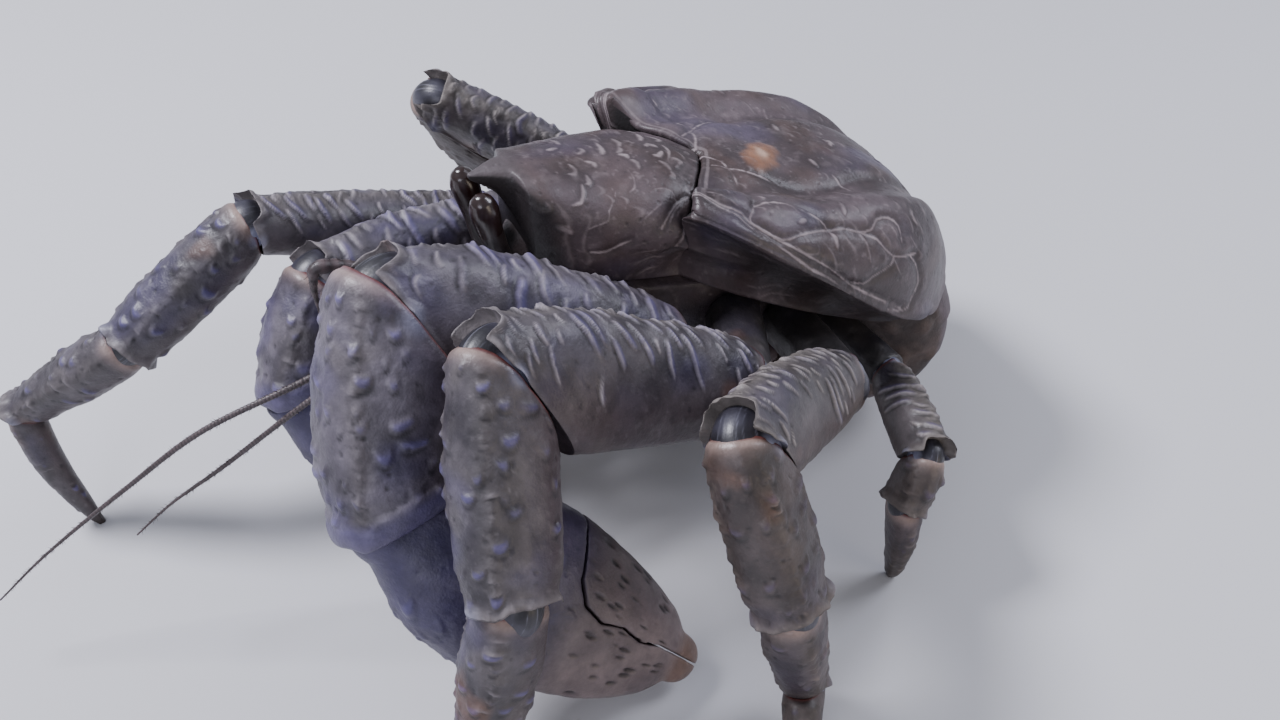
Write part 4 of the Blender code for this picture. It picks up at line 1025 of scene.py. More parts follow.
def make_limb(name, limb, kinds, palette, seed, claw=False):
    """The segments of a limb past its base, each with a membrane in its near joint.

    The kinds of a pincer limb stop at the wrist.
    """
    points = limb_joints(limb)
    frames = limb_frames(points)
    before = unit(points[0] - np.array(limb["coxa"]))
    earlier = None
    for i, kind in enumerate(kinds):
        along, up = frames[i]
        tip = i == len(frames) - 1
        broad = claw and kind == "carpus"
        style = STYLES["claw_merus" if claw and kind == "merus" else kind]
        bend = DACTYL_BEND if tip else 0.0
        segment = Segment(kind, points[i], points[i + 1], up, limb_size(limb, i), bend)
        planes = [(points[i], unit(before + along))]
        bends = [(before - along, sharpness(before, along))]
        if not tip:
            after = frames[i + 1][0]
            planes.append((points[i + 1], unit(along + after)))
            bends.append((along - after, WRIST_BEND if broad else sharpness(along, after)))
        node = f"{name}_{kind}"
        mesh = limb_piece(
            node + "_shell", segment, planes, bends, palette, seed + 100 * i, style, broad
        )
        place(node + "_shell", mesh, "limb", [node])
        radii = ball_radii(segment, earlier)
        ball_seed = seed + (3 if claw else 7) + i
        add_ball(node + "_membrane", points[i], before, along, radii, ball_seed)
        before, earlier = along, segment
    return points, frames, earlier


def ball_radii(segment, earlier):
    """Sideways and outer radius of the membrane between two segments, inside both rims."""
    lateral = segment.half * segment.form["half"][0][1]
    outer = segment.near
    if earlier is not None:
        lateral = min(lateral, earlier.half * earlier.form["half"][-1][1])
        outer = min(outer, earlier.far)
    return 0.92 * lateral, 0.93 * outer


def sharpness(before, after):
    """How sharply a limb bends at a joint: 0 straight on, 1 at a right angle or more."""
    return min(1.0, 0.2 + 0.9 * math.sqrt(max(0.0, 1 - max(0.0, before @ after) ** 2)))


def loft(rings):
    """A closed bmesh through rings of equal count, with flat ends."""
    shape = bmesh.new()
    loops = [[shape.verts.new(point) for point in ring] for ring in rings]
    for near, far in zip(loops, loops[1:]):
        for i in range(len(near)):
            j = (i + 1) % len(near)
            shape.faces.new((near[i], near[j], far[j], far[i]))
    shape.faces.new(loops[0])
    shape.faces.new(loops[-1])
    bmesh.ops.recalc_face_normals(shape, faces=shape.faces)
    return shape


def plain_shell(segment, rows, cols, cut_plane):
    """A bmesh of a plain segment with one end at a joint's plane and the other round."""
    theta = np.arange(cols) * 2 * math.pi / cols
    first = segment.meet(theta, *cut_plane, True) + 0.0004
    last = segment.length + segment.far * 0.985
    u = np.linspace(0, 1, rows)[:, None] ** 0.9
    a = first + (last - first) * u
    return loft(segment.at(a, np.broadcast_to(theta, a.shape)))


def scratch_object(name, shape):
    """A temporary object for modifiers."""
    mesh = bpy.data.meshes.new(name)
    shape.to_mesh(mesh)
    shape.free()
    item = bpy.data.objects.new(name, mesh)
    bpy.context.scene.collection.objects.link(item)
    return item


def remeshed(item, others, voxel, smooth):
    """Applies an object's modifiers, a voxel remesh and a smoothing, and returns a bmesh."""
    modifier = item.modifiers.new("remesh", "REMESH")
    modifier.mode = "VOXEL"
    modifier.voxel_size = voxel
    soften = item.modifiers.new("soften", "SMOOTH")
    soften.factor = 0.5
    soften.iterations = smooth
    graph = bpy.context.evaluated_depsgraph_get()
    graph.update()
    mesh = bpy.data.meshes.new_from_object(item.evaluated_get(graph))
    for old in [item] + others:
        bpy.data.objects.remove(old)
    return mesh


def mesh_arrays(mesh):
    """Vertex places and normals of a mesh, in the crab's frame."""
    points = np.empty(len(mesh.vertices) * 3, np.float32)
    mesh.vertices.foreach_get("co", points)
    normals = np.empty(len(mesh.vertices) * 3, np.float32)
    mesh.vertices.foreach_get("normal", normals)
    return points.reshape(-1, 3).astype(float), normals.reshape(-1, 3).astype(float)


def finish_mesh(mesh, points, tint, rough):
    """Moves a mesh's vertices and gives them their looks."""
    mesh.vertices.foreach_set("co", (points + STANCE).astype(np.float32).ravel())
    mesh.update()
    set_looks(mesh, tint, rough)
    mesh.shade_smooth()


def finger_cutter(segment, shift):
    """The space of the movable finger, past the palm's shoulder and inside the bite line."""
    rings = []
    for across in (-0.05, 0.05):
        ring = []
        for t, share in BITE:
            q = segment.start + segment.along * (t * segment.length + shift)
            ring.append(q + segment.up * (share * segment.height - shift) + segment.side * across)
        rings.append(ring)
    return scratch_object("cutter", loft(rings))


def chela_looks(segment, points, normals, seed):
    """Relief and colour of a palm or finger: scales on the palm, dark pits on the fingers."""
    local = points - segment.start
    a = local @ segment.along
    theta = np.arctan2(local @ segment.up, local @ segment.side)
    t = a / segment.length
    radius = (segment.height + segment.half) / 2
    phi = crest_angle(theta)
    finger = smoothstep(0.46, 0.66, t)
    palm = smoothstep(0.004, 0.012, a) * (1 - finger)
    style = STYLES["chela"]
    height, pale, painted_shade, crust, tops = shell_relief(style, a, phi, radius, points, seed, palm)
    stretched = np.stack((a / 2.2, phi * radius, np.full(a.shape, 0.01)), axis=-1)
    distance, tag = cells(stretched, 0.0040, seed + 5)
    pit = smoothstep(0.36, 0.16, distance) * (tag > 0.20) * finger * smoothstep(1.0, 0.90, t)
    height = height - 0.0007 * pit + 0.0003 * finger * noise(points, 0.006, seed + 1, 3)
    points = points + normals * height[..., None]
    low = smoothstep(1.6, 2.6, np.abs(phi))
    tint = shell_colour(LIMB, points, seed, pale, painted_shade, crust * (1 - finger), low, tops)
    tint = mix(tint, LIMB["violet"], 0.45 * (1 - finger))
    mottle = smoothstep(-0.4, 0.5, noise(points, 0.012, seed + 3, 2))
    brown = mix(FINGER_DARK, FINGER_LIGHT, mottle)
    tint = tint * (1 - 0.85 * finger)[:, None] + brown * (0.85 * finger)[:, None]
    tint = mix(tint, FINGER_PIT, 0.92 * pit)
    tip = smoothstep(0.94, 1.02, t)
    tint = mix(tint, FINGER_TIP, tip)
    rough = 0.36 + 0.2 * crust * (1 - finger) - 0.08 * tip
    return points, tint, rough


def make_claw_end(name, limb, points, frames, earlier, seed):
    """The palm with its fixed finger, the movable finger, and the membrane of the wrist."""
    before = frames[1][0]
    along, up = frames[2]
    segment = Segment("chela", points[2], points[3], up, limb_size(limb, 2))
    plane = (points[2], unit(before + along))
    parts = (("palm", "DIFFERENCE", -0.0001), ("dactyl", "INTERSECT", 0.0005))
    for k, (word, operation, shift) in enumerate(parts):
        node = f"{name}_{word}"
        item = scratch_object(node, plain_shell(segment, *PALM_GRID, plane))
        cutter = finger_cutter(segment, shift)
        modifier = item.modifiers.new("cut", "BOOLEAN")
        modifier.object = cutter
        modifier.operation = operation
        modifier.solver = "EXACT"
        mesh = remeshed(item, [cutter], PALM_VOXEL, 5)
        mesh.name = node + "_shell"
        places, normals = mesh_arrays(mesh)
        finish_mesh(mesh, *chela_looks(segment, places, normals, seed + 50 * k))
        place(node + "_shell", mesh, "limb", [node])
    radii = ball_radii(segment, earlier)
    add_ball(name + "_wrist_membrane", points[2], before, along, radii, seed + 9)


def seam_height(y):
    """Height of the seam between the carapace and the thorax."""
    slope = np.where(y < SEAM_BEND[0], SEAM_FRONT_SLOPE, SEAM_REAR_SLOPE)
    return SEAM_BEND[1] - slope * (y - SEAM_BEND[0])


def groove(x):
    """How far back the cervical groove lies at a distance x from the middle."""
    return GROOVE_MIDDLE - GROOVE_REACH * (np.abs(x) / GROOVE_HALF) ** GROOVE_POWER


def body_point(y, way, sizes, boxy, bulge, rise, dip):
    """A point of the carapace's cross-section. Way runs from -1, the right foot, over 0 to 1."""
    half, top, edge, bottom, foot = sizes
    side = np.abs(way)
    angle = math.pi / 2 * np.clip(side / WALL_START, 0, 1)
    across = np.sin(angle) ** boxy
    lobe = rise * np.exp(-(((across - LOBE_MIDDLE) / LOBE_WIDTH) ** 2))
    lobe = lobe - dip * np.exp(-(((across - DIP_MIDDLE) / DIP_WIDTH) ** 2))
    x = half * across
    z = edge + (top - edge) * np.cos(angle) ** boxy + lobe
    wall = np.clip((side - WALL_START) / WALL_SHARE, 0, 1)
    wall_x = half + (foot - half) * wall + (half - foot) * bulge * 4 * wall * (1 - wall)
    wall_z = edge + (bottom - edge) * wall
    x = np.where(side > WALL_START, wall_x, x)
    z = np.where(side > WALL_START, wall_z, z)
    return np.stack((np.sign(way) * x, y, z), axis=-1)


def shield_point(y, way):
    """A point of the shield."""
    bottom = np.where(y <= SHIELD_UNDER[-1][0], profile(SHIELD_UNDER, y), seam_height(y) + SEAM_GAP)
    half = profile(SHIELD_HALF, y)
    edge = np.maximum(profile(SHIELD_EDGE, y), bottom + LEAST_WALL)
    sizes = (half, profile(SHIELD_TOP, y), edge, bottom, half * profile(SHIELD_FOOT, y))
    return body_point(y, way, sizes, SHIELD_BOXY, profile(SHIELD_WALL, y), 0.0, 0.0)


def back_point(y, way):
    """A point of the carapace behind the cervical groove. Its lobes level out at the rear."""
    bottom = np.where(y > BACK_UNDER[0][0], profile(BACK_UNDER, y), seam_height(y) + SEAM_GAP)
    half = profile(BACK_HALF, y)
    sizes = (half, profile(BACK_TOP, y), profile(BACK_EDGE, y), bottom, half * BACK_FOOT)
    lobed = smoothstep(BACK_END, LOBES_END, y)
    rise, dip = LOBE_RISE * lobed, LOBE_DIP * lobed
    return body_point(y, way, sizes, BACK_BOXY, profile(BACK_WALL, y), rise, dip)


def groove_station(point, way, shift):
    """Where each column of the carapace meets the cervical groove."""
    y = np.full(way.shape, -0.01)
    for _ in range(60):
        y = 0.5 * y + 0.5 * (groove(point(y, way)[..., 0]) + shift)
    return y


def drawn_lines(mm, sutures, lines, seed):
    """Height, pale share and painted shade of sutures and of finer lines, mirrored to the other
    side too.

    Short lines are moon-shaped crescents, longer ones are thin and fade at their ends.
    """
    height = np.zeros(mm.shape[:-1])
    pale, painted_shade = np.zeros(mm.shape[:-1]), np.zeros(mm.shape[:-1])
    wander = noise(mm, 5.0, seed, 2)
    thick = 0.40 * np.abs(noise(mm, 1.7, seed + 1, 2))
    mirrored = np.array((-1.0, 1.0, 1.0))
    for table, strong in ((sutures, True), (lines, False)):
        for line in table:
            curve = rounded_line(line, 3.0)
            length = np.linalg.norm(np.diff(curve, axis=0), axis=1).sum()
            moon = 0.0 if strong else 0.80 * float(smoothstep(13.0, 8.0, length))
            for way in (1, -1):
                lot = scatter(np.array([len(line), int(line[0][1]), 3]), seed)
                if way < 0 and not strong and lot < 0.3:
                    continue
                at = curve if way > 0 else curve * mirrored
                distance, share = polyline_distance(mm, at, 7.0)
                distance = distance + thick
                body = np.sqrt(np.clip(4 * share * (1 - share), 0, 1))
                if strong:
                    half = 0.34 + 0.16 * wander
                    height -= 0.00075 * np.exp(-((distance / 2.2) ** 2)) * (distance < 6.9)
                    height += 0.00016 * smoothstep(0.90, 0.30, distance)
                    drawn = smoothstep(half + 0.30, half - 0.10, distance)
                    line_pale = drawn * (0.66 + 0.4 * wander)
                    # Painted shade along the suture's groove, on both sides of its pale line.
                    line_shade = 0.35 * np.exp(-(((distance - 1.3) / 0.9) ** 2))
                else:
                    half = (0.16 + moon + 0.16 * wander) * body
                    strength = (0.50 + 0.45 * wander) * (0.75 + 0.25 * body)
                    raised = smoothstep(half + 0.8, half - 0.2, distance)
                    height += (0.00007 + 0.00020 * moon) * raised
                    drawn = smoothstep(half + 0.34, half - 0.10 - 0.5 * moon, distance)
                    line_pale = drawn * strength
                    # Painted shade in a thin band round each fine line.
                    beside = np.exp(-(((distance - half - 0.8) / 0.6) ** 2))
                    line_shade = (0.10 + 0.25 * moon) * beside
                pale = np.maximum(pale, line_pale)
                painted_shade = np.maximum(painted_shade, line_shade)
    return height, pale, painted_shade


CRESCENTS = {"tail": -0.5, "front": 0.13, "spread": 0.34}


def carapace_looks(points, seed, sutures, lines, share):
    """Relief, pale marks and painted shade of the carapace, from its sutures, its lines and small
    scattered dashes.
    """
    height, pale, painted_shade = drawn_lines(points * 1000, sutures, lines, seed + 1)
    height = height + 0.00045 * noise(points, 0.015, seed, 2)
    height = height + 0.00018 * noise(points, 0.0050, seed + 1, 2)
    wander = noise(points, 0.010, seed + 2, 2)
    fresh = (1 - smoothstep(0.05, 0.3, pale)) * np.clip(0.55 + 0.6 * wander, 0.1, 1)
    for k, (pitch, width) in enumerate(((0.0078, 0.0084), (0.0052, 0.0070))):
        u = points[..., 1] / pitch + 0.5 * wander - 0.35 * points[..., 0] / pitch
        v = points[..., 0] / width + 0.4 * noise(points, 0.012, seed + 3 + k)
        rise, edge, under = scales(u, v, seed + 4 + 9 * k, CRESCENTS, lambda cell_v: share)
        height = height + 0.00016 * rise
        pale = np.maximum(pale, 0.40 * edge * fresh)
        # Painted shadow under each dash.
        painted_shade = np.maximum(painted_shade, 0.30 * under * fresh)
    pores, tag = cells(points, 0.0030, seed + 31)
    pore = smoothstep(0.30, 0.12, pores) * (tag > 0.6)
    height = height - 0.00014 * pore
    # Painted shade in the pores.
    painted_shade = np.maximum(painted_shade, 0.45 * pore)
    return height, pale, painted_shade


def flank_lines(points, seed):
    """Fine wavy pale lines on the flanks under the carapace's edge."""
    phase = points[..., 2] / 0.0050 + 1.1 * noise(points, 0.011, seed, 2) + points[..., 1] / 0.022
    f = np.abs(phase - np.floor(phase) - 0.5)
    broken = smoothstep(-0.10, 0.25, noise(points, 0.009, seed + 3))
    return smoothstep(0.12, 0.03, f) * broken


def flank_shade(points):
    """How far a point of the flank lies in the dark hollow behind and under the near fold."""
    back = (points[..., 1] + 0.016) / 0.020 - (0.112 - points[..., 2]) / 0.028
    return smoothstep(0.0, 1.0, back)


def paint_carapace(points, pale, painted_shade, seed):
    """Colours of the carapace, darkened by its share of painted shade."""
    tone = smoothstep(-0.5, 0.5, noise(points, 0.018, seed + 20, 3))
    tint = mix(SHELL["dark"], SHELL["light"], tone)
    brown = smoothstep(-0.1, 0.5, noise(points, 0.014, seed + 21, 2))
    tint = mix(tint, SHELL["under"], 0.50 * brown)
    lilac = smoothstep(0.05, 0.6, noise(points, 0.020, seed + 22, 2))
    tint = mix(tint, SHELL["violet"], 0.45 * lilac)
    smudge = smoothstep(0.10, 0.65, noise(points, 0.0042, seed + 24, 3))
    tint = mix(tint, SHELL["pale"], 0.10 * smudge)
    speck = smoothstep(0.35, 0.70, noise(points, 0.0016, seed + 23, 2))
    tint = mix(tint, SHELL["pale"], 0.14 * speck)
    tint = mix(tint, SHELL["painted_shade"], np.clip(painted_shade, 0, 1) * 0.75)
    tint = mix(tint, SHELL["pale"], np.clip(pale, 0, 1) * 0.72)
    rough = 0.33 + 0.14 * tone + 0.20 * np.clip(pale, 0, 1)
    return tint, rough


def rolled_rim(points, normals, tint, rough, row, radius, depth, centre):
    """Rings that roll an open rim over and lead in to its closing face, painted dark as shade."""
    rim = points[row]
    ahead = rim - points[row + (1 if row == 0 else -1)]
    ahead /= np.linalg.norm(ahead, axis=1, keepdims=True) + 1e-12
    out = normals[row]
    inward = (centre - rim + np.array((0.0, 0.0, -0.060))) * np.array((1.0, 0.3, 1.0))
    inward /= np.linalg.norm(inward, axis=1, keepdims=True)
    rings, colours, shines = [], [], []
    for angle, sink in ROLL:
        turn = math.radians(angle)
        ring = rim + radius[:, None] * (ahead * math.sin(turn) - out * (1 - math.cos(turn)))
        rings.append(ring + inward * (sink * depth)[:, None])
        # The rolled rings darken with painted shade as they turn in and under.
        dark = 0.55 * smoothstep(0.2, 1.0, sink) if row == 0 else min(1.0, angle / 100.0)
        colours.append(mix(tint[row], SHELL["painted_shade"], np.full(len(rim), dark)))
        shines.append(rough[row])
    inner = rings[-1]
    # The closing face is painted in the darkest shade.
    for share in CLOSING_SHARES:
        rings.append(centre + (inner - centre) * share)
        colours.append(np.tile(np.array(SHELL["painted_shade"]), (len(rim), 1)))
        shines.append(np.full(len(rim), 0.6))
    stacks = []
    for whole, extra in ((points, rings), (tint, colours), (rough, shines)):
        extra = np.array(extra)
        stacks.append(np.concatenate((extra[::-1], whole) if row == 0 else (whole, extra)))
    return stacks


def even_ways(point, y, count, top_share):
    """Columns spread evenly along a cross-section of the carapace, with fewer on its walls."""
    dense = np.linspace(0, 1, 4001)
    curve = point(np.full(dense.shape, y), dense)
    length = np.concatenate(((0.0,), np.cumsum(np.linalg.norm(np.diff(curve, axis=0), axis=1))))
    corner = np.interp(0.82, dense, length)
    half = count // 2
    tops = int(half * top_share)
    marks = np.concatenate(
        (
            np.linspace(0, corner, tops, endpoint=False),
            np.linspace(corner, length[-1], half + 1 - tops),
        )
    )
    ways = np.interp(marks, length, dense)
    return np.concatenate((-ways[:0:-1], ways))


def carapace_grid(point, start, finish, ways, rows):
    """A grid over the carapace between two lines across it, and each point's own y."""
    y = start + (finish - start) * np.linspace(0, 1, rows)[:, None]
    return point(y, np.broadcast_to(ways, y.shape)), y


def plate_normals(points):
    """Outward normals of a plate of the carapace. Its lowest columns take their neighbours'."""
    rows, cols = points.shape[:2]
    normals = grid_normals(points)
    normals = normals * np.sign(normals[rows // 2, cols // 2] @ UP)
    normals[:, 0], normals[:, -1] = normals[:, 1], normals[:, -2]
    return normals


def meet_flanks(points, y, ways):
    """Draws the back's flank in to the shield's flank at the groove, less and less behind it."""
    rim = points[0]
    edge = shield_point(y[0], np.full(ways.shape, WALL_START))
    foot = shield_point(y[0], np.ones(ways.shape))
    down = np.clip((edge[:, 2] - rim[:, 2]) / (edge[:, 2] - foot[:, 2]), 0, 1)
    target = shield_point(y[0], np.sign(ways) * (WALL_START + WALL_SHARE * down))
    share = smoothstep(WALL_START, 0.84, np.abs(ways)) * smoothstep(0.022, 0.0, y - y[0])
    points[..., 0] += (target[:, 0] - rim[:, 0]) * share


def make_shield():
    """The front half of the carapace with its rostrum."""
    rows, cols = SHIELD_GRID
    ways = even_ways(shield_point, -0.030, cols, 0.80)
    edge_share = np.abs(ways)
    side_share = smoothstep(0.76, 0.82, edge_share)
    radius = 0.0022 - 0.0021 * smoothstep(0.55, 0.80, edge_share)
    limit = groove_station(shield_point, ways, -SEAM_GAP) - radius + 0.0016 * side_share
    start = np.full(ways.shape, ROSTRUM_TIP + 0.0002)
    points, y = carapace_grid(shield_point, start, limit, ways, rows)
    normals = plate_normals(points)
    spread = np.abs(np.broadcast_to(ways, y.shape))
    to_groove = (limit - y) * (1 - 0.25 * spread)
    side = smoothstep(0.50, 0.75, spread)
    height, pale, painted_shade = carapace_looks(points, CARAPACE_SEED, SHIELD_SUTURES, SHIELD_LINES, 0.20)
    lines = flank_lines(points, FLANK_SEED) * smoothstep(0.72, 0.85, spread)
    lines = lines * smoothstep(-0.040, -0.030, y)
    height = height + 0.0002 * lines
    pale = np.maximum(pale, 0.45 * lines)
    height = height - 0.0022 * np.exp(-((to_groove / 0.0060) ** 2)) * (1 - side)
    fade = smoothstep(-0.0808, -0.074, y) * smoothstep(1.0, 0.95, spread)
    tucked = 0.00022 * side_share * smoothstep(0.0050, 0.0015, limit - y)
    points = points + normals * (height * fade - tucked)[..., None]
    tint, rough = paint_carapace(points, pale * fade, painted_shade, CARAPACE_SEED)
    blade = smoothstep(-0.060, -0.070, y) * smoothstep(0.62, 0.50, spread)
    tint = mix(tint, BLADE_COLOUR, 0.80 * blade)
    # Painted shade in the hollow of the orbit beside the rostrum.
    orbit_shade = smoothstep(-0.0550, -0.0635, y) * smoothstep(0.44, 0.60, spread)
    tint = mix(tint, SHELL["painted_shade"], 0.90 * orbit_shade)
    shade = smoothstep(0.79, 0.84, spread) * flank_shade(points)
    tint = mix(tint, SHELL["painted_shade"], 0.70 * shade)
    centre = np.array((0.0, -0.0100, 0.1150))
    depth = np.full(ways.shape, 0.0040)
    looks = rolled_rim(points, normals, tint, rough, -1, radius, depth, centre)
    poles = (np.array((0.0, ROSTRUM_TIP, 0.1458)), np.array((0.0, -0.0120, 0.1120)))
    add_skin("carapace_shield_shell", *looks, poles, "shell", "carapace_shell", ["carapace_shield"])


# The worn spot is round when it is seen along this line.
WORN_SIDE = unit(np.array((0.646, -0.343, 0.682)))


def make_back():
    """The carapace behind the cervical groove, with its raised lobes."""
    rows, cols = BACK_GRID
    ways = even_ways(back_point, 0.010, cols, 0.84)
    edge_share = np.abs(ways)
    lobes = smoothstep(0.25, 0.55, edge_share)
    far_lobe = lobes * smoothstep(0.0, -0.3, ways)
    on_top = smoothstep(0.84, 0.76, edge_share)
    radius = 0.0002 + (0.0010 + 0.0018 * lobes + 0.0035 * far_lobe) * on_top
    limit = groove_station(back_point, ways, SEAM_GAP) + radius - 0.0006 * (1 - on_top)
    points, y = carapace_grid(back_point, limit, np.full(ways.shape, BACK_END), ways, rows)
    meet_flanks(points, y, ways)
    normals = plate_normals(points)
    spread = np.abs(np.broadcast_to(ways, y.shape))
    to_groove = (y - limit) * (1 - 0.25 * spread)
    height, pale, painted_shade = carapace_looks(points, CARAPACE_SEED, BACK_SUTURES, BACK_LINES, 0.24)
    wall = smoothstep(0.79, 0.84, spread)
    lines = flank_lines(points, FLANK_SEED) * wall
    pale = np.maximum(pale, 0.40 * lines)
    height = height + 0.0002 * lines
    middle = smoothstep(0.45, 0.25, spread)
    height = height - 0.0012 * np.exp(-((to_groove / 0.0040) ** 2)) * middle
    pale = np.maximum(pale, 0.30 * smoothstep(0.0008, 0.0003, np.abs(to_groove - 0.0010)) * middle)
    rim = np.exp(-(((spread - 0.795) / 0.012) ** 2))
    height = height + 0.0007 * rim
    away = points * 1000 - np.array(WORN_SPOT)
    away = away - (away @ WORN_SIDE)[..., None] * WORN_SIDE
    spot = np.linalg.norm(away, axis=-1) + 2.0 * noise(points, 0.005, 1390, 2)
    height = height + 0.0013 * smoothstep(9.0, 1.5, spot)
    fade = smoothstep(1.0, 0.97, spread)
    points = points + normals * (height * fade)[..., None]
    tint, rough = paint_carapace(points, pale * fade, painted_shade, CARAPACE_SEED)
    tint = mix(tint, WORN_EDGE, 0.72 * smoothstep(7.5, 3.5, spot))
    # Pale middle of the worn spot, partly worn shell and partly a painted highlight.
    tint = mix(tint, WORN_MIDDLE_AND_HIGHLIGHT, 0.60 * smoothstep(3.6, 0.8, spot))
    tint = mix(tint, SHELL["painted_shade"], 0.70 * wall * flank_shade(points))
    centre = np.array((0.0, 0.0100, 0.1120))
    depth = 0.0015 + 0.0125 * far_lobe * on_top
    looks = rolled_rim(points, normals, tint, rough, 0, radius, depth, centre)
    poles = (np.array((0.0, 0.012, 0.1080)), np.array((0.0, BACK_END, 0.0660)))
    add_skin("carapace_back_shell", *looks, poles, "shell", "carapace_shell", ["carapace_back"])


# The abdomen curls round a pivot: its sections fan out from it, at angles above the rear.
PIVOT = np.array((0.0, 0.052, 0.046))
ABDOMEN_OUTER = (
    (-175.0, 0.0350), (-150.0, 0.0350), (-110.0, 0.0355), (-70.0, 0.0400), (-30.0, 0.0475),
    (8.0, 0.0470), (45.0, 0.0460), (90.0, 0.0455),
)
ABDOMEN_INNER = (
    (-175.0, 0.0290), (-150.0, 0.0190), (-120.0, 0.0080), (-80.0, 0.0035), (90.0, 0.0035),
)
ABDOMEN_HALF = (
    (-175.0, 0.0070), (-150.0, 0.0170), (-110.0, 0.0300), (-60.0, 0.0410), (0.0, 0.0455),
    (45.0, 0.0430), (90.0, 0.0350),
)
TERGITE_EDGES = (8.0, -20.0, -48.0, -76.0)
TERGITE_RISE = 0.0016
ABDOMEN_GRID = (220, 180)
ABDOMEN_ENDS = (88.0, -150.0)


def make_abdomen():
    """The curled abdomen, with overlapping plates over lumpy soft skin."""
    rows, cols = ABDOMEN_GRID
    turn = (np.arange(cols) * 2 * math.pi / cols)[None, :] * np.ones((rows, 1))
    angle = np.linspace(*ABDOMEN_ENDS, rows)[:, None] * np.ones((1, cols))
    outer, inner = profile(ABDOMEN_OUTER, angle), profile(ABDOMEN_INNER, angle)
    half = profile(ABDOMEN_HALF, angle)
    middle, depth = (outer + inner) / 2, (outer - inner) / 2
    out = signed_power(np.cos(turn), SECTION_POWER) * depth
    across = signed_power(np.sin(turn), SECTION_POWER) * half
    lift = np.zeros(angle.shape)
    lip = np.zeros(angle.shape)
    for edge in TERGITE_EDGES:
        wave = 0.9 * np.sin(5 * turn + edge) + 0.5 * np.sin(11 * turn + 2 * edge)
        ahead = angle - edge + 2.4 * np.cos(2 * turn) + wave
        lift = np.maximum(lift, np.where(ahead >= 0, TERGITE_RISE * np.exp(-ahead / 16), 0.0))
        lip = np.maximum(lip, np.exp(-(((ahead - 0.6) / 0.7) ** 2)))
    plate = smoothstep(0.15, 0.30, np.cos(turn))
    radial = np.radians(angle)
    outward = np.stack((np.zeros(angle.shape), np.cos(radial), np.sin(radial)), axis=-1)
    points = PIVOT + outward * (middle + out + lift * plate)[..., None]
    points[..., 0] += across
    normals = grid_normals(points)
    normals = normals * np.sign(normals[rows // 2, 0] @ outward[rows // 2, 0])
    distance = cells(points, 0.0085, 2000)[0]
    lump = smoothstep(0.65, 0.10, distance) * (1 - plate)
    wrinkle = noise(points, 0.0032, 2001, 3)
    height = 0.0014 * lump + 0.0004 * wrinkle * (1 - 0.6 * plate)
    points = points + normals * height[..., None]
    tone = smoothstep(-0.4, 0.5, noise(points, 0.012, 2002, 3))
    skin = mix(mix(SKIN_DARK, SKIN_LIGHT, tone), SKIN_LUMP, 0.4 * lump)
    shell = mix(SHELL["dark"], SHELL["light"], tone)
    tint = mix(skin, shell, plate)
    worn = np.clip(0.45 + 0.9 * noise(points, 0.007, 2003, 2), 0, 1)
    tint = mix(tint, SHELL["pale"], 0.42 * lip * plate * worn)
    rough = 0.55 - 0.12 * plate + 0.1 * tone
    poles = [PIVOT + outward[end, 0] * middle[end, 0] for end in (0, -1)]
    add_skin("abdomen_skin", points, tint, rough, poles, "soft", "soft_body", ["abdomen"])


def node_copy(name):
    """A bmesh of a CAD node, in the crab's frame."""
    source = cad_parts[name]
    shape = bmesh.new()
    shape.from_mesh(source.data)
    shape.transform(source.matrix_world)
    bmesh.ops.translate(shape, verts=shape.verts, vec=Vector(-STANCE))
    bmesh.ops.remove_doubles(shape, verts=shape.verts, dist=0.00001)
    return shape


def soft_node(name, voxel, smooth, palette, material, slot, seed, relief, shade=0.0, lines=()):
    """A finer, worn copy of a CAD node's own shape."""
    item = scratch_object(name, node_copy(name))
    mesh = remeshed(item, [], voxel, smooth)
    mesh.name = name + "_skin"
    points, normals = mesh_arrays(mesh)
    distance, tag = cells(points, 0.0055, seed)
    bump = smoothstep(0.5, 0.05, distance) * (tag > 0.4)
    height = relief * (bump + 0.8 * noise(points, 0.006, seed + 1, 3))
    pale = 0.25 * bump
    if lines:
        raised, drawn, _ = drawn_lines(points * 1000, (), lines, seed + 3)
        height = height + raised
        pale = np.maximum(pale, drawn)
    points = points + normals * height[..., None]
    points[:, 2] = np.maximum(points[:, 2], 0.0)
    crust = smoothstep(0.0, 0.7, noise(points, 0.010, seed + 2, 2)) * 0.5
    nothing = np.zeros(len(points))
    # The shade share darkens the colour as painted shade.
    tint = shell_colour(palette, points, seed, pale, nothing, crust, nothing, nothing) * (1 - shade)
    finish_mesh(mesh, points, tint, 0.42 + 0.2 * crust)
    place(name + "_skin", mesh, material, [name])


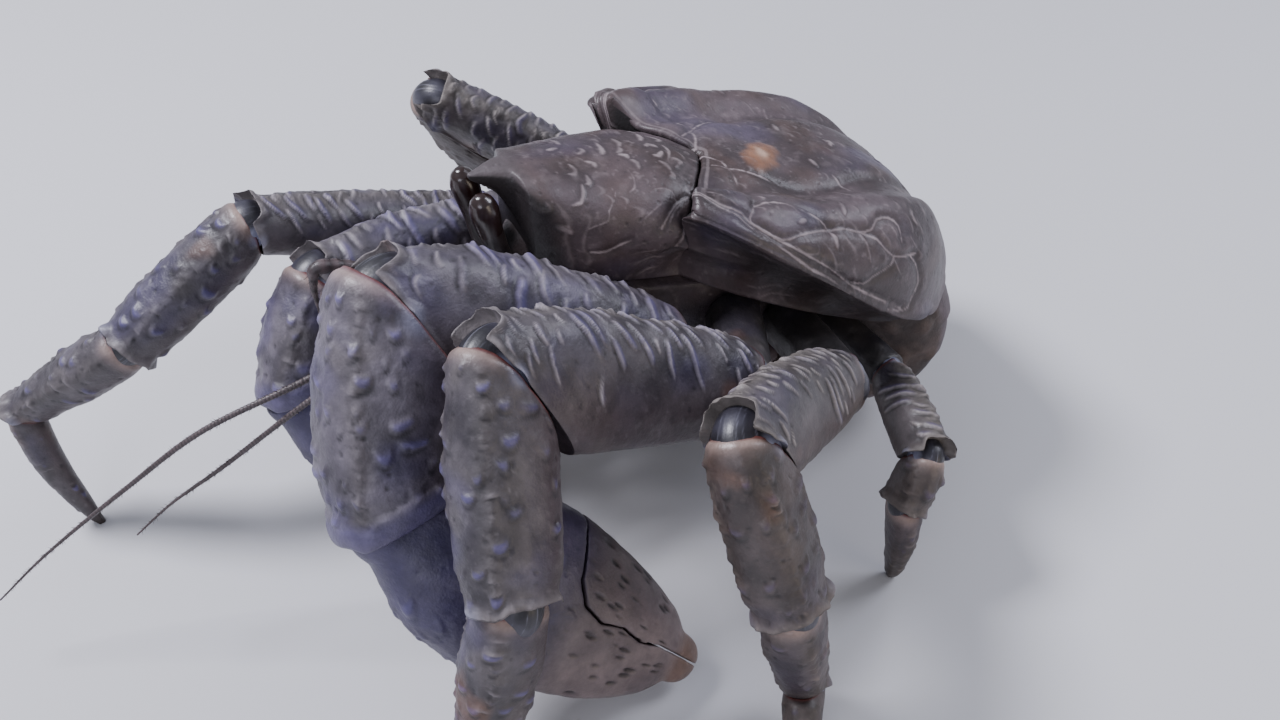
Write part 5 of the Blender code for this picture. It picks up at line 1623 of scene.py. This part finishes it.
# Feelers of the head: each root on the head's flat face as (x, z), on the crab's left side. Rings
# are given by length and depth, bristles by number, length and the stretch they stand on.
HEAD_FACE = -0.0663
HEAD_LEAD = 0.0025
MOUTH_GRID = (60, 60)
MOUTH_MIDDLE = np.array((0.0, -0.0560, 0.1090))
MOUTH_RADII = np.array((0.0165, 0.0150, 0.0190))
BRISTLE_WIDTH = 0.00011
EYE = {
    "root": (0.0046, 0.1052), "sides": 40,
    "route": ((0.0056, -0.0740, 0.1120), (0.0070, -0.0775, 0.1270), (0.0080, -0.0800, 0.1400),
              (0.0082, -0.0806, 0.1435)),
    "radii": ((0.0, 0.0038), (0.25, 0.0042), (0.6, 0.0040), (0.85, 0.0047), (0.95, 0.0036),
              (1.0, 0.0014)),
}
ANTENNULE = {
    "root": (0.0032, 0.0965), "sides": 24, "ring": (0.0040, 0.10), "seed": 41,
    "route": ((0.0034, -0.0900, 0.1020), (0.0052, -0.1120, 0.1170), (0.0062, -0.1290, 0.1240),
              (0.0064, -0.1325, 0.1190), (0.0064, -0.1325, 0.1060)),
    "radii": ((0.0, 0.0024), (0.3, 0.0022), (0.6, 0.0018), (0.78, 0.0024), (0.86, 0.0014),
              (1.0, 0.0004)),
    "bristles": (90, 0.0022, 0.5, 0.95), "colours": (FEELER_DARK, FEELER_LIGHT),
    "looks": ("feeler", "feeler"),
}
MAXILLIPED = {
    "root": (0.0100, 0.0870), "sides": 36, "ring": (0.0120, 0.16), "seed": 42,
    "route": ((0.0100, -0.0735, 0.0865), (0.0085, -0.0800, 0.0780), (0.0060, -0.0800, 0.0670),
              (0.0050, -0.0760, 0.0590)),
    "radii": ((0.0, 0.0038), (0.4, 0.0040), (0.75, 0.0034), (1.0, 0.0014)),
    "bristles": (420, 0.0050, 0.15, 1.0), "colours": (PALP_DARK, PALP_LIGHT),
    "looks": ("soft", "soft_body"),
}
ANTENNA = {
    "root": (0.0130, 0.0990), "sides": 16, "ring": (0.0013, 0.16), "seed": 43,
    "radii": ((0.0, 0.0038), (0.10, 0.0036), (0.2, 0.0030), (0.27, 0.0013), (0.7, 0.0009),
              (1.0, 0.0003)),
    "bristles": (420, 0.0012, 0.25, 0.99), "colours": (FEELER_DARK, FEELER_LIGHT),
    "looks": ("feeler", "feeler"),
}
LEFT_ROUTE = (
    (0.0140, -0.0900, 0.1040), (0.0150, -0.1180, 0.1010), (0.0150, -0.1448, 0.0920),
    (0.0059, -0.1750, 0.0680), (0.0027, -0.1930, 0.0570), (0.0022, -0.2063, 0.0480),
)
RIGHT_ROUTE = (
    (0.0095, -0.0900, 0.0970), (-0.0020, -0.1180, 0.0985), (-0.0093, -0.1416, 0.0960),
    (-0.0017, -0.1770, 0.0820), (0.0058, -0.2040, 0.0620), (0.0115, -0.2340, 0.0400),
    (0.0130, -0.2533, 0.0250),
)
ANTENNA_LEFT = dict(ANTENNA, route=LEFT_ROUTE)
ANTENNA_RIGHT = dict(ANTENNA, route=RIGHT_ROUTE)


def feeler_line(feeler, side, step):
    """Fine points along a feeler, and each point's share of its length."""
    x, z = feeler["root"]
    corners = [(side * x, HEAD_FACE, z), (side * x, HEAD_FACE - HEAD_LEAD, z)]
    corners += [(side * px, py, pz) for px, py, pz in feeler["route"]]
    rough_line = rounded_line(corners, 0.0005)
    steps = np.linalg.norm(np.diff(rough_line, axis=0), axis=1)
    lengths = np.concatenate(((0.0,), np.cumsum(steps)))
    count = max(8, int(lengths[-1] / step))
    s = np.linspace(0, lengths[-1], count)
    line = np.stack([np.interp(s, lengths, rough_line[:, k]) for k in range(3)], axis=-1)
    return line, s


def tube_grid(line, radii, cols):
    """A closed grid swept along a line."""
    tangents = np.gradient(line, axis=0)
    tangents /= np.linalg.norm(tangents, axis=1, keepdims=True)
    normal = unit(np.cross(tangents[0], (0.3, 0.1, 1.0)))
    rings = []
    turn = np.arange(cols) * 2 * math.pi / cols
    for p, t, r in zip(line, tangents, radii):
        normal = unit(normal - t * (normal @ t))
        other = np.cross(t, normal)
        rings.append(p + r * (np.cos(turn)[:, None] * normal + np.sin(turn)[:, None] * other))
    return np.array(rings)


def make_feeler(name, feeler, side, rng):
    """A ringed feeler along its line, with its bristles."""
    line, s = feeler_line(feeler, side, 0.00035)
    radii = profile(feeler["radii"], s / s[-1])
    ring, ring_depth = feeler["ring"]
    turn = np.abs(np.sin(np.pi * s / ring))
    grid = tube_grid(line, radii * (1 - ring_depth * (1 - turn)), feeler["sides"])
    tint = mix(*feeler["colours"], np.broadcast_to(turn[:, None] ** 2, grid.shape[:2]))
    tint = tint * (1 + 0.3 * noise(grid, 0.004, feeler["seed"], 2))[..., None]
    rough = np.full(grid.shape[:2], 0.32)
    material, slot = feeler["looks"]
    add_skin(name + "_skin", grid, tint, rough, (line[0], line[-1]), material, slot, [name])
    add_bristles(name + "_bristles", line, radii, rng, feeler["bristles"])


def add_bristles(name, line, radii, rng, bristles):
    """Bristles as thin closed cones that stand round a stretch of a tube."""
    count, length, low, high = bristles
    tangents = np.gradient(line, axis=0)
    corners, faces = [], []
    for k in range(count):
        i = int(rng.uniform(low, high) * (len(line) - 1))
        t = unit(tangents[i])
        out = rng.normal(size=3)
        out = unit(out - t * (out @ t))
        root = line[i] + out * radii[i] * 0.95
        d = unit(out + 0.7 * t + 0.2 * rng.normal(size=3))
        tip = root + d * (length * rng.uniform(0.5, 1.2))
        across = unit(np.cross(d, (0.21, 0.83, 0.52)))
        other = np.cross(d, across)
        base = root - d * BRISTLE_WIDTH
        for turn in (0.0, 2.1, 4.2):
            spoke = math.cos(turn) * across + math.sin(turn) * other
            corners.append(base + BRISTLE_WIDTH * spoke)
        corners.append(tip)
        b = 4 * k
        faces += [(b, b + 1, b + 3), (b + 1, b + 2, b + 3), (b + 2, b, b + 3), (b, b + 2, b + 1)]
    tints = np.tile(np.array(BRISTLE, float), (len(corners), 1))
    shines = np.full(len(corners), 0.5)
    mesh = make_mesh(name, np.array(corners), np.zeros((0, 4), int), np.array(faces), tints, shines)
    fix_winding(mesh)
    place(name, mesh, "feeler")


def make_eye(word, side):
    """An eye on its stalk: the stalk, and a glossy cornea over its end."""
    line, s = feeler_line(EYE, side, 0.0004)
    share = s / s[-1]
    grid = tube_grid(line, profile(EYE["radii"], share), EYE["sides"])
    tint = mix(STALK_DARK, STALK_LIGHT, smoothstep(-0.4, 0.4, noise(grid, 0.004, 30, 2)))
    cornea = smoothstep(0.60, 0.68, share)[:, None] * np.ones((1, EYE["sides"]))
    tint = mix(tint, CORNEA, cornea)
    name = f"eye_{word}"
    rough = 0.36 - 0.26 * cornea
    add_skin(name + "_skin", grid, tint, rough, (line[0], line[-1]), "eye", "eye", [name])


def make_mouth_field():
    """The dark front of the head that carries the feelers, under the rostrum."""
    rows, cols = MOUTH_GRID
    polar = np.linspace(0.05, math.pi - 0.05, rows)[:, None] * np.ones((1, cols))
    turn = np.arange(cols) * 2 * math.pi / cols * np.ones((rows, 1))
    out = np.sin(polar)
    ball = np.stack((out * np.cos(turn), out * np.sin(turn), np.cos(polar)), axis=-1)
    points = MOUTH_MIDDLE + ball * MOUTH_RADII
    points = points + ball * (0.0010 * noise(points, 0.006, 51, 3))[..., None]
    tone = smoothstep(-0.4, 0.5, noise(points, 0.005, 52, 3))
    tint = mix(MOUTH_DARK, MOUTH_LIGHT, tone)
    pole = np.array((0.0, 0.0, MOUTH_RADII[2]))
    poles = (MOUTH_MIDDLE + pole, MOUTH_MIDDLE - pole)
    add_skin("mouth_field", points, tint, np.full((rows, cols), 0.45), poles, "soft", "soft_body")


def make_head():
    """Eyes, feelers and mouth limbs."""
    rng = np.random.default_rng(5)
    make_mouth_field()
    for side, word in ((1, "left"), (-1, "right")):
        make_eye(word, side)
        make_feeler("antennule_" + word, ANTENNULE, side, rng)
        make_feeler("maxilliped_" + word, MAXILLIPED, side, rng)
    make_feeler("antenna_left", ANTENNA_LEFT, 1, rng)
    make_feeler("antenna_right", ANTENNA_RIGHT, -1, rng)


# Lights: place, target, size, energy and colour.
LIGHTS = (
    ("key", (-0.45, -0.50, 1.05), (0.0, -0.02, 0.09), 0.35, 21.0, (0.90, 0.90, 1.0)),
    ("front", (0.70, -0.80, 0.60), (0.0, -0.03, 0.07), 0.6, 3.5, (0.86, 0.86, 1.0)),
    ("rear", (0.15, 0.95, 0.80), (0.0, 0.0, 0.08), 0.5, 7.0, (0.84, 0.86, 1.0)),
    ("low", (0.90, 0.45, 0.25), (0.0, 0.0, 0.06), 0.5, 1.6, (1.0, 0.84, 0.66)),
)
# The photograph's camera: its place, its heading and pitch seen from the crab, and its lens.
CAMERA_PLACE = (0.331, -0.197, 0.392)
CAMERA_ANGLES = (62.0, 43.0)
FIELD_OF_VIEW = 50.0
SENSOR_WIDTH = 36.0


def make_light(name, place_at, target, size, energy, colour):
    """A soft area light."""
    light = bpy.data.lights.new(name, "AREA")
    light.shape = "DISK"
    light.size = size
    light.energy = energy
    light.color = colour
    item = bpy.data.objects.new(name, light)
    item.location = place_at
    direction = Vector(target) - Vector(place_at)
    item.rotation_euler = direction.to_track_quat("-Z", "Y").to_euler()
    bpy.context.scene.collection.objects.link(item)


def make_studio():
    """Pale floor, soft light, and the camera at the photograph's angle."""
    bpy.ops.mesh.primitive_plane_add(size=60.0, location=(0.0, 0.0, -0.0002))
    floor = bpy.context.object
    floor.name = "floor"
    material = bpy.data.materials.new("floor")
    material.use_nodes = True
    shader = material.node_tree.nodes["Principled BSDF"]
    shader.inputs["Base Color"].default_value = (0.62, 0.62, 0.64, 1.0)
    shader.inputs["Roughness"].default_value = 0.7
    floor.data.materials.append(material)
    world = bpy.data.worlds.new("studio")
    bpy.context.scene.world = world
    world.use_nodes = True
    sky = world.node_tree.nodes["Background"]
    sky.inputs["Color"].default_value = (0.80, 0.84, 0.95, 1.0)
    sky.inputs["Strength"].default_value = 0.42
    for light in LIGHTS:
        make_light(*light)
    data = bpy.data.cameras.new("camera")
    data.sensor_width = SENSOR_WIDTH
    data.lens = SENSOR_WIDTH / 2 / math.tan(math.radians(FIELD_OF_VIEW / 2))
    data.clip_start = 0.01
    camera = bpy.data.objects.new("camera", data)
    camera.location = Vector(CAMERA_PLACE) + Vector(STANCE)
    back = Vector(heading_vector(*CAMERA_ANGLES))
    camera.rotation_euler = (-back).to_track_quat("-Z", "Y").to_euler()
    bpy.context.scene.collection.objects.link(camera)
    bpy.context.scene.camera = camera


def main():
    """Builds every piece."""
    make_studio()
    make_shield()
    make_back()
    make_abdomen()
    make_head()
    soft_node("thorax", 0.0011, 4, SHELL, "soft", "soft_body", 3000, 0.0003, 0.25, FLANK_LINES)
    soft_node("telson", 0.0007, 6, SHELL, "shell", "carapace_shell", 3100, 0.0002)
    for k, (name, limb) in enumerate(CLAWS.items()):
        seed = 4000 + 1000 * k
        soft_node(name + "_base", slot="limb_shell", seed=3200 + k, **BASE)
        ends = make_limb(name, limb, ("merus", "carpus"), CLAW, seed, True)
        make_claw_end(name, limb, *ends, seed + 400)
    for k, (name, limb) in enumerate(LEGS.items()):
        palette, slot = (LIMB, "limb_shell") if "leg2" in name else (REAR, "rear_limb_shell")
        soft_node(name + "_base", slot=slot, seed=3300 + k, **BASE)
        kinds = ("merus", "carpus") + (("dactyl",) if "leg4" in name else ("propodus", "dactyl"))
        make_limb(name, limb, kinds, palette, 6000 + 1000 * k)


main()
